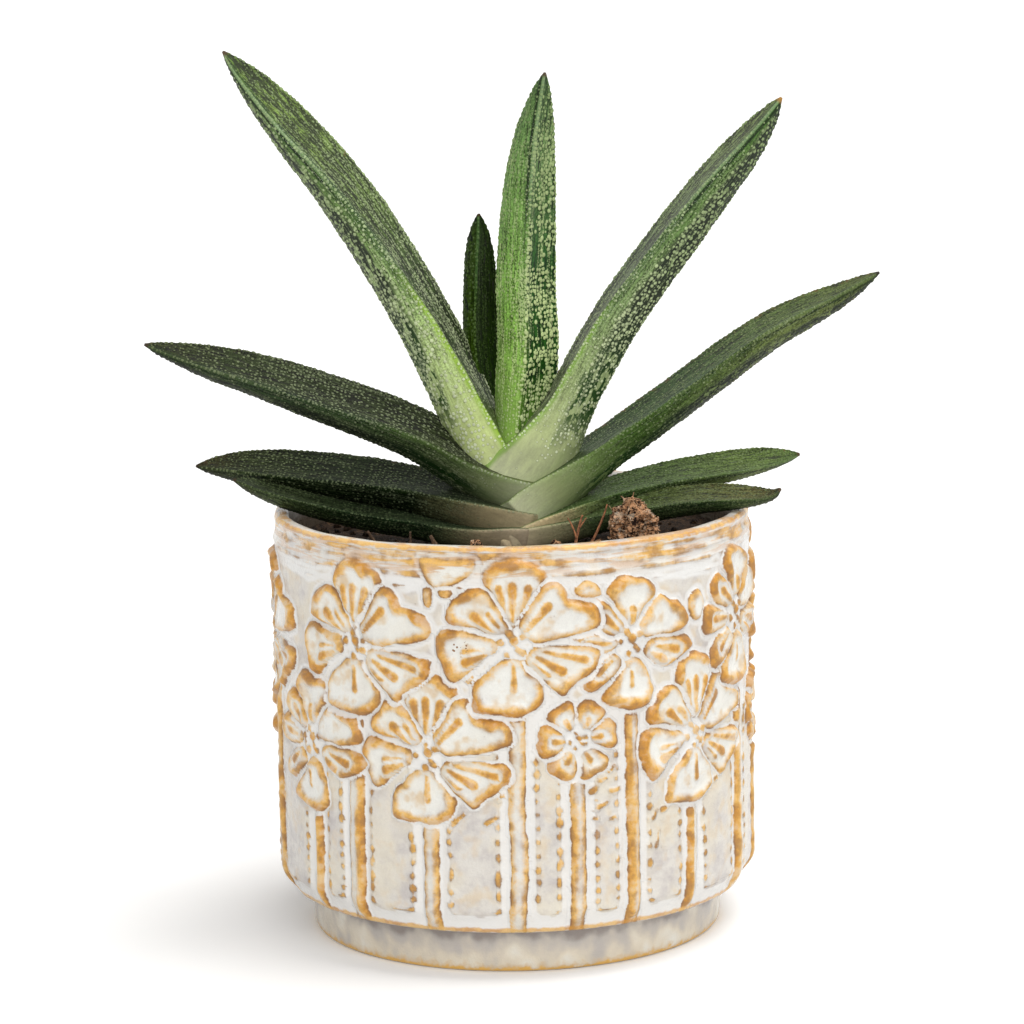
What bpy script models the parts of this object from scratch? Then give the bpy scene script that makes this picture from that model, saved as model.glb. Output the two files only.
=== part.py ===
"""A gasteria in a glazed pot: the pot, its soil, the short stem, ten leaves and the loose bits on the soil.

Metres, +Z up. The origin is the centre of the flat face under the pot's foot, and the plant's front is -Y.
"""

from dataclasses import dataclass
from math import cos, exp, pi, radians, sin

import bmesh
import bpy
from mathutils import Vector

MM = 0.001
GAP = 0.3

# Pot
POT_HEIGHT = 125.0
POT_RADIUS = 71.0
LIP_RADIUS = 70.0
LIP_INNER_RADIUS = 65.6
LIP_ROUND = 1.6
WALL_INNER_RADIUS = 64.5
CAVITY_FOOT_RADIUS = 62.5
FOOT_RADIUS = 60.5
FOOT_TOP_RADIUS = 61.8
FOOT_HEIGHT = 13.5
FOOT_EDGE = 0.8
SKIRT_RADIUS = 67.0
SKIRT_HEIGHT = 8.0
SKIRT_STEPS = 3
FLOOR_THICKNESS = 9.0
FLOOR_ROUND = 14.0
WALL_TOP = 112.0
NECK_TOP = 118.0
POT_SEGMENTS = 72

# Soil
SOIL_LEVEL = 115.5
SOIL_DIP = 1.2
SOIL_DIP_RADIUS = 26.0
SOIL_SEGMENTS = 48

# Stem
CROWN_X = 2.5
STEM_RADIUS = 5.0
STEM_BOTTOM = 103.0
STEM_TOP = 130.0
STEM_SEGMENTS = 20

# Leaves
LEAF_STATIONS = 15
FACE_POINTS = 4
BASE_LENGTH = 34.0
TIP_BREADTH = 0.7
LEAF_CLEARANCE = 0.5
WELD = 0.03
ATTACH_LENGTH = 15.0
ATTACH_SHARE = 0.55
HOLLOW, SWELL, BASE_SWELL = -0.05, 0.13, 0.1
FRONT = Vector((0, -1, 0))


@dataclass(frozen=True)
class LeafPlan:
    """One leaf: its centre line from the crown to the tip, and the triangular section that runs along it.

    The section has three corners: the upper margin, a ridge that faces the front, and the keel below. The
    breadth is the distance from margin to keel, the ridge values are how far down that breadth the ridge lies
    at the base, in the middle and at the tip, and the depth is measured from front to back.
    """

    name: str
    path: tuple
    breadth: float
    base_breadth: float
    taper: float
    depth: float
    base_depth: float
    ridge: tuple
    keel: float = 0.2
    upper_side: int = 1


LEAVES = (
    LeafPlan(
        "leaf_01",
        path=(
            (3, 1, 130), (4.5, 1, 152), (6, 0, 172),
            (5.7, 0, 192), (8, -1, 227), (12, -2, 252),
        ),
        breadth=18,
        base_breadth=14,
        taper=19,
        depth=10,
        base_depth=9,
        ridge=(0.7, 0.5, 0.5),
        keel=1.0,
    ),
    LeafPlan(
        "leaf_02",
        path=(
            (0, 5, 132), (-4.5, 10, 150), (-7.5, 12, 170),
            (-7.8, 13, 190), (-8, 14, 210),
        ),
        breadth=10.6,
        base_breadth=10,
        taper=8,
        depth=9,
        base_depth=9,
        ridge=(0.72, 0.68, 0.5),
        keel=0.6,
    ),
    LeafPlan(
        "leaf_03",
        path=(
            (-1, 0, 131), (-8, 1, 143), (-24.3, 3, 178.8),
            (-44.3, 7, 212.8), (-66, 10, 240.6), (-82, 12, 259),
        ),
        breadth=16.7,
        base_breadth=15,
        taper=20,
        depth=15,
        base_depth=15,
        ridge=(0.03, 0.43, 0.8),
    ),
    LeafPlan(
        "leaf_04",
        path=(
            (2, 0, 131), (13, -1, 146), (32.3, -3, 180),
            (55.8, -5, 212.2), (71.7, -7, 232.3), (80, -8, 244),
        ),
        breadth=13.7,
        base_breadth=24,
        taper=15,
        depth=14,
        base_depth=19,
        ridge=(0.03, 0.13, 0.33),
        upper_side=-1,
    ),
    LeafPlan(
        "leaf_05",
        path=(
            (9.5, 0, 126), (-10, -1, 135), (-30, -4, 147.9),
            (-67, -8, 163.4), (-92, -10.5, 171.6), (-105.5, -12, 176),
        ),
        breadth=14.6,
        base_breadth=16,
        taper=22,
        depth=17,
        base_depth=22,
        ridge=(0.15, 0.53, 0.6),
    ),
    LeafPlan(
        "leaf_06",
        path=(
            (3, 0, 122), (12, 1, 129), (42.3, 3.5, 149.5),
            (74.8, 7, 172.5), (97.5, 9, 184), (110, 10, 191),
        ),
        breadth=11.8,
        base_breadth=17,
        taper=18,
        depth=16,
        base_depth=25,
        ridge=(0.05, 0.32, 0.33),
        upper_side=-1,
    ),
    LeafPlan(
        "leaf_07",
        path=(
            (6, 0, 119), (-14, 1, 125), (-34, 3, 130),
            (-54, 5, 133.2), (-79, 8, 135.9), (-93.5, 9, 136.7),
        ),
        breadth=13,
        base_breadth=14,
        taper=13,
        depth=17,
        base_depth=28,
        ridge=(0.1, 0.44, 0.5),
    ),
    LeafPlan(
        "leaf_08",
        path=(
            (-4, 0, 116.4), (12, 1, 120.3), (28, 2, 126),
            (47, 3, 130.9), (72.5, 5, 135.7), (86, 6, 137.7),
        ),
        breadth=9.1,
        base_breadth=12,
        taper=11,
        depth=16,
        base_depth=30,
        ridge=(0.1, 0.38, 0.75),
        upper_side=-1,
    ),
    LeafPlan(
        "leaf_09",
        path=(
            (5, 0, 117), (-10, -1, 117.5), (-24, -1, 119),
            (-43.5, -2, 122.4), (-68.5, -3.5, 129.5), (-81.5, -4, 134.5),
        ),
        breadth=8.1,
        base_breadth=9.5,
        taper=11,
        depth=16,
        base_depth=32,
        ridge=(0.15, 0.25, 0.35),
    ),
    LeafPlan(
        "leaf_10",
        path=(
            (0, 0, 116.5), (20, -4, 120), (37, -9, 124),
            (56, -13.5, 127.6), (74, -18, 129.2), (78.5, -19, 131.5),
        ),
        breadth=8.2,
        base_breadth=10,
        taper=10,
        depth=13,
        base_depth=30,
        ridge=(0.1, 0.3, 0.5),
        upper_side=-1,
    ),
)


@dataclass(frozen=True)
class Lump:
    """A rounded lump on the soil, with its centre and its half sizes."""

    name: str
    centre: tuple
    half: tuple
    detail: int = 2


LUMPS = (
    Lump("peat_clump", (36, -21.5, 122.6), (6.6, 5.4, 6.7), detail=3),
    Lump("crumb_1", (46, -20, 117.2), (2.0, 1.6, 1.3)),
    Lump("crumb_2", (26, -21, 117.0), (1.6, 1.4, 1.1)),
    Lump("crumb_3", (50.5, -17, 117.0), (1.7, 1.5, 1.1)),
    Lump("crumb_4", (13, -21.5, 117.0), (1.5, 1.3, 1.1)),
    Lump("crumb_5", (-10, -21.5, 117.2), (1.8, 1.4, 1.3)),
)


@dataclass(frozen=True)
class Stick:
    """A thin dry bit that stands or lies on the soil."""

    name: str
    foot: tuple
    tip: tuple
    radius: float


STICKS = (
    Stick("stalk", (22.5, -23, 116.0), (28, -19.5, 128), 0.45),
    Stick("twig", (18.5, -23, 116.0), (20.8, -20, 125), 0.5),
    Stick("chip_1", (-22, -19, 116.2), (-23.5, -19.5, 119.6), 0.9),
    Stick("chip_2", (-29.5, -20, 116.2), (-29.3, -20.5, 121), 0.5),
    Stick("chip_3", (-38.5, -22, 116.2), (-41.5, -24, 122), 0.6),
)


def clear_scene():
    """Remove every object, so that the file holds the plant alone."""
    for obj in list(bpy.data.objects):
        bpy.data.objects.remove(obj, do_unlink=True)


def material(name, colour, roughness):
    """A plain Principled material."""
    made = bpy.data.materials.new(name)
    made.use_nodes = True
    shader = made.node_tree.nodes["Principled BSDF"]
    shader.inputs["Base Color"].default_value = (*colour, 1.0)
    shader.inputs["Roughness"].default_value = roughness
    return made


def add_object(name, mesh, finish):
    """Link a mesh to the scene as a named object with one material."""
    obj = bpy.data.objects.new(name, mesh)
    bpy.context.scene.collection.objects.link(obj)
    mesh.materials.append(finish)
    return obj


def mesh_from(name, points, faces):
    """A mesh from points in millimetres, with its faces turned outwards."""
    mesh = bpy.data.meshes.new(name)
    shape = bmesh.new()
    corners = [shape.verts.new(Vector(point) * MM) for point in points]
    for face in faces:
        shape.faces.new([corners[index] for index in face])
    bmesh.ops.recalc_face_normals(shape, faces=shape.faces)
    bmesh.ops.triangulate(shape, faces=shape.faces)
    shape.to_mesh(mesh)
    shape.free()
    return mesh


def arc(centre, radius, start, end, steps):
    """Points of a quarter turn or less in the (radius, height) plane, with its angles in degrees."""
    points = []
    for step in range(steps + 1):
        turn = radians(start + (end - start) * step / steps)
        points.append((centre[0] + radius * cos(turn), centre[1] + radius * sin(turn)))
    return points


def turned(name, profile, segments, finish):
    """A solid turned about +Z. The profile starts and ends on the axis."""
    points = [(0, 0, profile[0][1])]
    for radius, height in profile[1:-1]:
        for step in range(segments):
            turn = 2 * pi * step / segments
            points.append((radius * cos(turn), radius * sin(turn), height))
    points.append((0, 0, profile[-1][1]))
    last = len(points) - 1
    rows = len(profile) - 2
    faces = []
    for step in range(segments):
        following = (step + 1) % segments
        faces.append((0, 1 + following, 1 + step))
        for row in range(rows - 1):
            low, high = 1 + row * segments, 1 + (row + 1) * segments
            faces.append((low + step, low + following, high + following, high + step))
        top = 1 + (rows - 1) * segments
        faces.append((last, top + step, top + following))
    return add_object(name, mesh_from(name, points, faces), finish)


def cavity_floor(clearance):
    """The rounded lower part of the hollow, from its side to its floor."""
    centre = (CAVITY_FOOT_RADIUS - FLOOR_ROUND, FLOOR_THICKNESS + FLOOR_ROUND)
    return arc(centre, FLOOR_ROUND - clearance, 0, -90, 5)


def build_pot(finish):
    """The pot: a foot, a near-cylindrical wall above it, and a rounded lip."""
    profile = [(0, 0), (FOOT_RADIUS - FOOT_EDGE, 0), (FOOT_RADIUS, FOOT_EDGE)]
    profile += [(FOOT_TOP_RADIUS, FOOT_HEIGHT - FOOT_EDGE)]
    for step in range(SKIRT_STEPS + 1):
        turn = step / SKIRT_STEPS * pi / 2
        radius = SKIRT_RADIUS + (POT_RADIUS - SKIRT_RADIUS) * sin(turn)
        profile.append((radius, FOOT_HEIGHT + SKIRT_HEIGHT * (1 - cos(turn))))
    profile += [(POT_RADIUS, WALL_TOP), (LIP_RADIUS, NECK_TOP)]
    lip_height = POT_HEIGHT - LIP_ROUND
    profile += arc((LIP_RADIUS - LIP_ROUND, lip_height), LIP_ROUND, 0, 90, 3)
    profile += arc((LIP_INNER_RADIUS + LIP_ROUND, lip_height), LIP_ROUND, 90, 180, 3)
    profile += [(WALL_INNER_RADIUS, WALL_TOP)] + cavity_floor(0) + [(0, FLOOR_THICKNESS)]
    return turned("pot", profile, POT_SEGMENTS, finish)


def soil_height(radius):
    """The soil's surface: level, with a shallow dip round the crown."""
    return SOIL_LEVEL - SOIL_DIP * exp(-((radius / SOIL_DIP_RADIUS) ** 2))


def build_soil(finish):
    """The soil: it fills the pot and has a socket for the stem."""
    rim = WALL_INNER_RADIUS - GAP
    surface = [(radius, soil_height(radius)) for radius in (rim - 0.5, 55, 45, 35, 25, 17)]
    side = cavity_floor(GAP)[::-1] + [(rim, WALL_TOP), (rim, SOIL_LEVEL - 0.6)]
    profile = [(0, FLOOR_THICKNESS + GAP)] + side + surface + [(0, soil_height(12))]
    soil = turned("soil", profile, SOIL_SEGMENTS, finish)
    socket = build_stem(finish, "stem_socket", GAP)
    cut(soil, [as_cutter(socket)])
    return soil


def build_stem(finish, name="crown_stem", grow=0.0):
    """The short stem, part in the soil and part inside the leaf bases."""
    points, faces = [], []
    rings = ((STEM_BOTTOM - grow, 0.8), (STEM_BOTTOM + 2, 1.0), (SOIL_LEVEL + 2, 1.0), (STEM_TOP + grow, 0.45))
    for height, share in rings:
        for step in range(STEM_SEGMENTS):
            turn = 2 * pi * step / STEM_SEGMENTS
            radius = STEM_RADIUS * share + grow
            points.append((CROWN_X + radius * cos(turn), radius * sin(turn), height))
    for row in range(len(rings) - 1):
        for step in range(STEM_SEGMENTS):
            following = (step + 1) % STEM_SEGMENTS
            low, high = row * STEM_SEGMENTS, (row + 1) * STEM_SEGMENTS
            faces.append((low + step, low + following, high + following, high + step))
    faces.append(tuple(range(STEM_SEGMENTS)))
    faces.append(tuple(range((len(rings) - 1) * STEM_SEGMENTS, len(rings) * STEM_SEGMENTS)))
    return add_object(name, mesh_from(name, points, faces), finish)


def smooth_point(points, along):
    """A point on the smooth curve through the path's points, with along from 0 to 1."""
    spans = len(points) - 1
    index = min(int(along * spans), spans - 1)
    local = along * spans - index
    middle = [Vector(points[index]), Vector(points[index + 1])]
    before = Vector(points[index - 1]) if index else 2 * middle[0] - middle[1]
    after = Vector(points[index + 2]) if index + 2 <= spans else 2 * middle[1] - middle[0]
    return 0.5 * (
        2 * middle[0]
        + (middle[1] - before) * local
        + (2 * before - 5 * middle[0] + 4 * middle[1] - after) * local**2
        + (3 * middle[0] - before - 3 * middle[1] + after) * local**3
    )


def smooth_step(value):
    """0 below 0, 1 above 1, and a soft rise between."""
    held = min(max(value, 0.0), 1.0)
    return held * held * (3 - 2 * held)


def through_three(values, along):
    """The quadratic curve through three values at the start, the middle and the end."""
    start, middle, end = values
    before = start * (1 - along) * (1 - 2 * along)
    after = end * along * (2 * along - 1)
    return before + 4 * middle * along * (1 - along) + after


def leaf_section(plan, from_base, from_tip):
    """The section's corners as (across, forward) pairs, and its faces' bulges.

    The corners are the upper margin, the front ridge and the keel, in that order.
    """
    along = from_base / (from_base + from_tip)
    clasp = 1 - smooth_step(from_base / BASE_LENGTH)
    swell = 1 - exp(-from_tip / plan.taper)
    breadth = (plan.breadth + (plan.base_breadth - plan.breadth) * clasp) * swell + TIP_BREADTH
    attach = ATTACH_SHARE + (1 - ATTACH_SHARE) * smooth_step(from_base / ATTACH_LENGTH)
    depth = (plan.depth + (plan.base_depth - plan.depth) * clasp) * swell * attach + TIP_BREADTH
    ridge = breadth / 2 - through_three(plan.ridge, along) * breadth
    corners = ((breadth / 2, -depth / 2), (ridge, depth / 2), (-breadth / 2, -plan.keel * depth / 2))
    return corners, (HOLLOW, SWELL + BASE_SWELL * clasp, SWELL + BASE_SWELL * clasp)


def section_outline(corners, bulges):
    """Points round a section, along curved faces between its corners."""
    outline = []
    for index, bulge in enumerate(bulges):
        start, end = Vector(corners[index]), Vector(corners[(index + 1) % 3])
        side = end - start
        outward = Vector((side.y, -side.x)) * bulge
        for step in range(FACE_POINTS):
            share = step / FACE_POINTS
            outline.append(start + side * share + outward * 4 * share * (1 - share))
    return outline


def leaf_mesh(plan, name):
    """The leaf lofted along its centre line, before its base is hollowed for the leaves inside it."""
    shares = [1 - (1 - step / (LEAF_STATIONS - 1)) ** 1.4 for step in range(LEAF_STATIONS)]
    centres = [smooth_point(plan.path, share) for share in shares]
    lengths = [0.0]
    for first, second in zip(centres, centres[1:]):
        lengths.append(lengths[-1] + (second - first).length)
    points = []
    for index, centre in enumerate(centres):
        ahead = centres[min(index + 1, LEAF_STATIONS - 1)] - centres[max(index - 1, 0)]
        forward = (FRONT - ahead * (FRONT.dot(ahead) / ahead.length_squared)).normalized()
        across = ahead.normalized().cross(forward) * plan.upper_side
        outline = section_outline(*leaf_section(plan, lengths[index], lengths[-1] - lengths[index]))
        points += [centre + across * point.x + forward * point.y for point in outline]
    around = 3 * FACE_POINTS
    faces = [tuple(range(around)), tuple(range(len(points) - around, len(points)))]
    for row in range(LEAF_STATIONS - 1):
        for step in range(around):
            following = (step + 1) % around
            low, high = row * around, (row + 1) * around
            faces.append((low + step, low + following, high + following, high + step))
    return mesh_from(name, points, faces)


def as_cutter(obj):
    """Keep an object out of the render, to be used by a Boolean only."""
    obj.hide_render = True
    obj.display_type = "WIRE"
    return obj


def grown_cutter(obj):
    """A copy of a solid, grown by the clearance that its neighbour keeps."""
    cutter = obj.copy()
    cutter.name = obj.name + "_clearance"
    bpy.context.scene.collection.objects.link(cutter)
    grow = cutter.modifiers.new("grow", "DISPLACE")
    grow.mid_level = 0.0
    grow.strength = LEAF_CLEARANCE * MM
    return as_cutter(cutter)


def cut(obj, cutters):
    """Subtract each cutter from the object."""
    for cutter in cutters:
        boolean = obj.modifiers.new("less " + cutter.name, "BOOLEAN")
        boolean.operation = "DIFFERENCE"
        boolean.object = cutter
        boolean.use_self = True


def face_bodies(shape):
    """The mesh's faces in groups that hold together across edges with two faces."""
    bodies, left = [], set(shape.faces)
    while left:
        body, edge = set(), [left.pop()]
        while edge:
            face = edge.pop()
            body.add(face)
            for side in face.edges:
                for other in side.link_faces:
                    if len(side.link_faces) == 2 and other in left:
                        left.remove(other)
                        edge.append(other)
        bodies.append(body)
    return bodies


def keep_largest_body(obj):
    """Apply the modifiers and drop the small scraps that the cuts leave."""
    graph = bpy.context.evaluated_depsgraph_get()
    obj.data = bpy.data.meshes.new_from_object(obj.evaluated_get(graph))
    obj.modifiers.clear()
    shape = bmesh.new()
    shape.from_mesh(obj.data)
    bmesh.ops.remove_doubles(shape, verts=shape.verts, dist=WELD * MM)
    bmesh.ops.dissolve_degenerate(shape, edges=shape.edges, dist=WELD * MM)
    bmesh.ops.triangulate(shape, faces=shape.faces)
    bodies = sorted(face_bodies(shape), key=len)
    bmesh.ops.delete(shape, geom=[face for body in bodies[:-1] for face in body], context="FACES")
    shape.to_mesh(obj.data)
    shape.free()


def soil_cutter(finish):
    """Everything below the soil's surface and its clearance."""
    surface = [(radius, soil_height(radius) + GAP) for radius in (90, 62, 50, 40, 32, 25, 18)]
    profile = [(0, 90), (90, 90)] + surface + [(0, soil_height(12) + GAP)]
    return as_cutter(turned("soil_clearance", profile, SOIL_SEGMENTS, finish))


def build_leaves(finishes, stem):
    """The ten leaves, from the innermost out. Each is hollowed by the stem and by the leaves inside it."""
    cutters = [soil_cutter(finishes[0]), grown_cutter(stem)]
    leaves = []
    for index, plan in enumerate(LEAVES):
        leaf = add_object(plan.name, leaf_mesh(plan, plan.name), finishes[index % len(finishes)])
        whole = grown_cutter(leaf)
        whole.data = leaf.data.copy()
        cut(leaf, cutters)
        bpy.context.view_layer.update()
        keep_largest_body(leaf)
        cutters.append(whole)
        leaves.append(leaf)
    return leaves


def build_lump(lump, finish):
    """A lump: a ball with shallow waves, flattened below."""
    mesh = bpy.data.meshes.new(lump.name)
    shape = bmesh.new()
    bmesh.ops.create_icosphere(shape, subdivisions=lump.detail, radius=1.0)
    for vertex in shape.verts:
        spot = vertex.co.copy()
        wave = 1 + 0.07 * sin(5 * spot.x + 2 * spot.y) + 0.06 * sin(6 * spot.z - 4 * spot.y)
        for axis in range(3):
            vertex.co[axis] = (lump.centre[axis] + lump.half[axis] * spot[axis] * wave) * MM
        floor = soil_height((lump.centre[0] ** 2 + lump.centre[1] ** 2) ** 0.5) + GAP
        vertex.co.z = max(vertex.co.z, floor * MM + 0.00002 * spot.z)
    shape.to_mesh(mesh)
    shape.free()
    return add_object(lump.name, mesh, finish)


def build_stick(stick, finish):
    """A stick: a six-sided cone from its foot to its tip."""
    foot, tip = Vector(stick.foot), Vector(stick.tip)
    axis = (tip - foot).normalized()
    side = axis.orthogonal().normalized()
    other = axis.cross(side)
    points, sides = [], 6
    for centre, radius in ((foot, stick.radius), (tip, stick.radius * 0.5)):
        for step in range(sides):
            turn = 2 * pi * step / sides
            points.append(centre + (side * cos(turn) + other * sin(turn)) * radius)
    faces = [(step, (step + 1) % sides, sides + (step + 1) % sides, sides + step) for step in range(sides)]
    faces += [tuple(range(sides)), tuple(range(sides, 2 * sides))]
    return add_object(stick.name, mesh_from(stick.name, points, faces), finish)


def main():
    """Build every piece."""
    clear_scene()
    glaze = material("cream_glaze", (0.78, 0.72, 0.62), 0.3)
    earth = material("potting_soil", (0.05, 0.03, 0.02), 0.95)
    peat = material("dry_peat", (0.28, 0.15, 0.08), 0.95)
    greens = (
        material("leaf_green", (0.14, 0.27, 0.07), 0.5),
        material("leaf_dark_green", (0.05, 0.11, 0.05), 0.55),
    )
    build_pot(glaze)
    build_soil(earth)
    stem = build_stem(material("stem_pale", (0.55, 0.55, 0.35), 0.6))
    build_leaves(greens, stem)
    for lump in LUMPS:
        build_lump(lump, peat)
    for stick in STICKS:
        build_stick(stick, peat)


main()
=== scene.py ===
"""A gasteria in a cream stoneware pot with raised flowers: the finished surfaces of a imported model."""

import logging
import math
from collections.abc import Callable
from dataclasses import dataclass, field
from enum import Enum
from typing import Any

import bmesh
import bpy
import numpy as np
from mathutils import Matrix, Vector


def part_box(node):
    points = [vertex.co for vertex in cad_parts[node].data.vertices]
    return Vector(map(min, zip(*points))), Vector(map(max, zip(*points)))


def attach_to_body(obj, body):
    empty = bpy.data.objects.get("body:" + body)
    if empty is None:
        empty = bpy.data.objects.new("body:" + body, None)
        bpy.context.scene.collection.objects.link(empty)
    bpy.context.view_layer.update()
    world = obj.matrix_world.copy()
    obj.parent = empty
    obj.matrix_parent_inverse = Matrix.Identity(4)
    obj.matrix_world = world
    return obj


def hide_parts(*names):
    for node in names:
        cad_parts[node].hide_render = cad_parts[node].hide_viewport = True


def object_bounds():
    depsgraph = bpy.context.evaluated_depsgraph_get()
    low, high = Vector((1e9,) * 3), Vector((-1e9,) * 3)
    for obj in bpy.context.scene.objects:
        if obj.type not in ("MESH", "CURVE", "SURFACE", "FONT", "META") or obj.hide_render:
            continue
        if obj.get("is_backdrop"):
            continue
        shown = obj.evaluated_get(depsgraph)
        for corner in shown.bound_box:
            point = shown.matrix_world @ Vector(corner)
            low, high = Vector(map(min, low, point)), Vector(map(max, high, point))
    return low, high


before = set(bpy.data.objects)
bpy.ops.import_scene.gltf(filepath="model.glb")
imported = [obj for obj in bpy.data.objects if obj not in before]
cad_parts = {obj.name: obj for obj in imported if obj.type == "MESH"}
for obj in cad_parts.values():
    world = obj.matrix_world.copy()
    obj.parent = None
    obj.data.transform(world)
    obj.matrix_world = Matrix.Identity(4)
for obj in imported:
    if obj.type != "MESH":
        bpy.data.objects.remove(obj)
CAD_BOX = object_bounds()

MM = 0.001
TURN = 2 * math.pi
BODY = "root"
Array = np.ndarray
Object = bpy.types.Object
Material = bpy.types.Material
Colour = tuple[float, float, float]
Pair = tuple[float, float]
Triple = tuple[float, float, float]
norm = np.linalg.norm

log = logging.getLogger("gasteria")


# Numbers and curves


def smooth_step(low: float, high: float, value: Array) -> Array:
    """A soft rise from 0 at low to 1 at high."""
    share = np.clip((value - low) / (high - low), 0, 1)
    return share * share * (3 - 2 * share)


def spline(before: Array, start: Array, end: Array, after: Array, t: Any) -> Array:
    """A smooth curve through points, span by span.

    Args:
        before: The points before the spans.
        start: Their first points.
        end: Their last points.
        after: The points after them.
        t: How far along the spans, from 0 to 1.

    Returns:
        The places.
    """
    bend = 2 * before - 5 * start + 4 * end - after
    close = 3 * start - before - 3 * end + after
    return 0.5 * (2 * start + (end - before) * t + bend * t**2 + close * t**3)


def smooth_path(points: tuple[Triple, ...], steps: int) -> Array:
    """A smooth line through points, at even steps.

    Args:
        points: The points.
        steps: How many places are given.

    Returns:
        The places, one a row.
    """
    knots = np.array(points, float)
    padded = np.vstack([2 * knots[0] - knots[1], knots, 2 * knots[-1] - knots[-2]])
    spans = len(knots) - 1
    share = np.linspace(0, spans, spans * 120 + 1)
    span = np.minimum(share.astype(int), spans - 1)
    t = (share - span)[:, None]
    dense = spline(*(padded[span + shift] for shift in range(4)), t)
    length = np.concatenate([[0], np.cumsum(norm(np.diff(dense, axis=0), axis=1))])
    even = np.linspace(0, length[-1], steps)
    return np.stack([np.interp(even, length, dense[:, axis]) for axis in range(3)], 1)


def smooth_loop(points: Array, steps: int = 6) -> Array:
    """A closed smooth curve through points in a plane."""
    four = [np.roll(points, shift, 0) for shift in (1, 0, -1, -2)]
    return np.stack([spline(*four, step / steps) for step in range(steps)], 1).reshape(-1, 2)


def depth_inside(outline: Array, x: Array, y: Array) -> Array:
    """How far places lie inside a closed outline.

    Args:
        outline: Its points, one a row.
        x: First coordinates of the places.
        y: Second coordinates.

    Returns:
        The distance to the outline, negative outside it.
    """
    points = np.stack([x, y], -1)
    nearest = np.full(len(x), np.inf)
    inside = np.zeros(len(x), bool)
    for start, end in zip(outline, np.roll(outline, -1, 0)):
        side = end - start
        share = np.clip((points - start) @ side / max(side @ side, 1e-9), 0, 1)
        gap = points - start - share[:, None] * side
        nearest = np.minimum(nearest, (gap * gap).sum(1))
        crosses = (start[1] > y) != (end[1] > y)
        if side[1]:
            inside ^= crosses & (x < start[0] + (y - start[1]) / side[1] * side[0])
    return np.where(inside, 1, -1) * np.sqrt(nearest)


def blur(values: Array, axis: int) -> Array:
    """Values softened by one step along a closed axis."""
    return (np.roll(values, 1, axis) + 2 * values + np.roll(values, -1, axis)) / 4


def lift(values: Array, where: Any, least: Array) -> None:
    """Raise values, at some of their places, to what they are to be at least."""
    values[where] = np.maximum(values[where], least)


def depth_in_stroke(x: Array, y: Array, start: Array, end: Array, widths: Pair) -> Array:
    """How far places lie inside a tapered stroke.

    Args:
        x: First coordinates of the places.
        y: Second coordinates.
        start: The stroke's first end.
        end: Its second end.
        widths: Its width at each end.

    Returns:
        The distance to its edge, negative outside it.
    """
    side = end - start
    share = np.clip(((x - start[0]) * side[0] + (y - start[1]) * side[1]) / (side @ side), 0, 1)
    gap = np.hypot(x - start[0] - share * side[0], y - start[1] - share * side[1])
    return (widths[0] + (widths[1] - widths[0]) * share) / 2 - gap


class SmoothNoise:
    """Soft random values from -1 to 1 that repeat every 32 steps along each axis."""

    SIZE = 32

    def __init__(self, seed: int) -> None:
        """Draw the values."""
        self.values = np.random.default_rng(seed).uniform(-1, 1, (self.SIZE,) * 3)

    def at(self, x: Array, y: Array, z: Array | float = 0.0) -> Array:
        """The noise at places.

        Args:
            x: First coordinates, one step a unit.
            y: Second coordinates.
            z: Third coordinates.

        Returns:
            The values.
        """
        x, y, z = np.broadcast_arrays(x, y, z)
        low = [np.floor(axis).astype(int) for axis in (x, y, z)]
        shares = [axis - floor for axis, floor in zip((x, y, z), low)]
        shares = [share * share * (3 - 2 * share) for share in shares]
        total = np.zeros(x.shape)
        for corner in range(8):
            steps = [corner >> axis & 1 for axis in range(3)]
            cell = tuple((floor + step) % self.SIZE for floor, step in zip(low, steps))
            weight = np.ones(x.shape)
            for share, step in zip(shares, steps):
                weight = weight * (share if step else 1 - share)
            total += self.values[cell] * weight
        return total


# Materials


def srgb(red: float, green: float, blue: float) -> Colour:
    """A colour from its 0 to 255 screen values.

    Args:
        red: Red.
        green: Green.
        blue: Blue.

    Returns:
        The colour as light.
    """
    shares = (value / 255 for value in (red, green, blue))
    light = [share / 12.92 if share <= 0.04045 else ((share + 0.055) / 1.055) ** 2.4 for share in shares]
    return light[0], light[1], light[2]


class Wire:
    """An output socket of a node. Sums written with it add the Math nodes they need."""

    def __init__(self, plan: "NodePlan", socket: bpy.types.NodeSocket) -> None:
        """Wrap a socket."""
        self.plan = plan
        self.socket = socket

    def __add__(self, other: Any) -> "Wire":
        """This plus other."""
        return self.plan.sum("ADD", self, other)

    def __radd__(self, other: Any) -> "Wire":
        """Other plus this."""
        return self.plan.sum("ADD", other, self)

    def __sub__(self, other: Any) -> "Wire":
        """This less other."""
        return self.plan.sum("SUBTRACT", self, other)

    def __rsub__(self, other: Any) -> "Wire":
        """Other less this."""
        return self.plan.sum("SUBTRACT", other, self)

    def __mul__(self, other: Any) -> "Wire":
        """This times other."""
        return self.plan.sum("MULTIPLY", self, other)

    def __rmul__(self, other: Any) -> "Wire":
        """Other times this."""
        return self.plan.sum("MULTIPLY", other, self)


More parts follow.
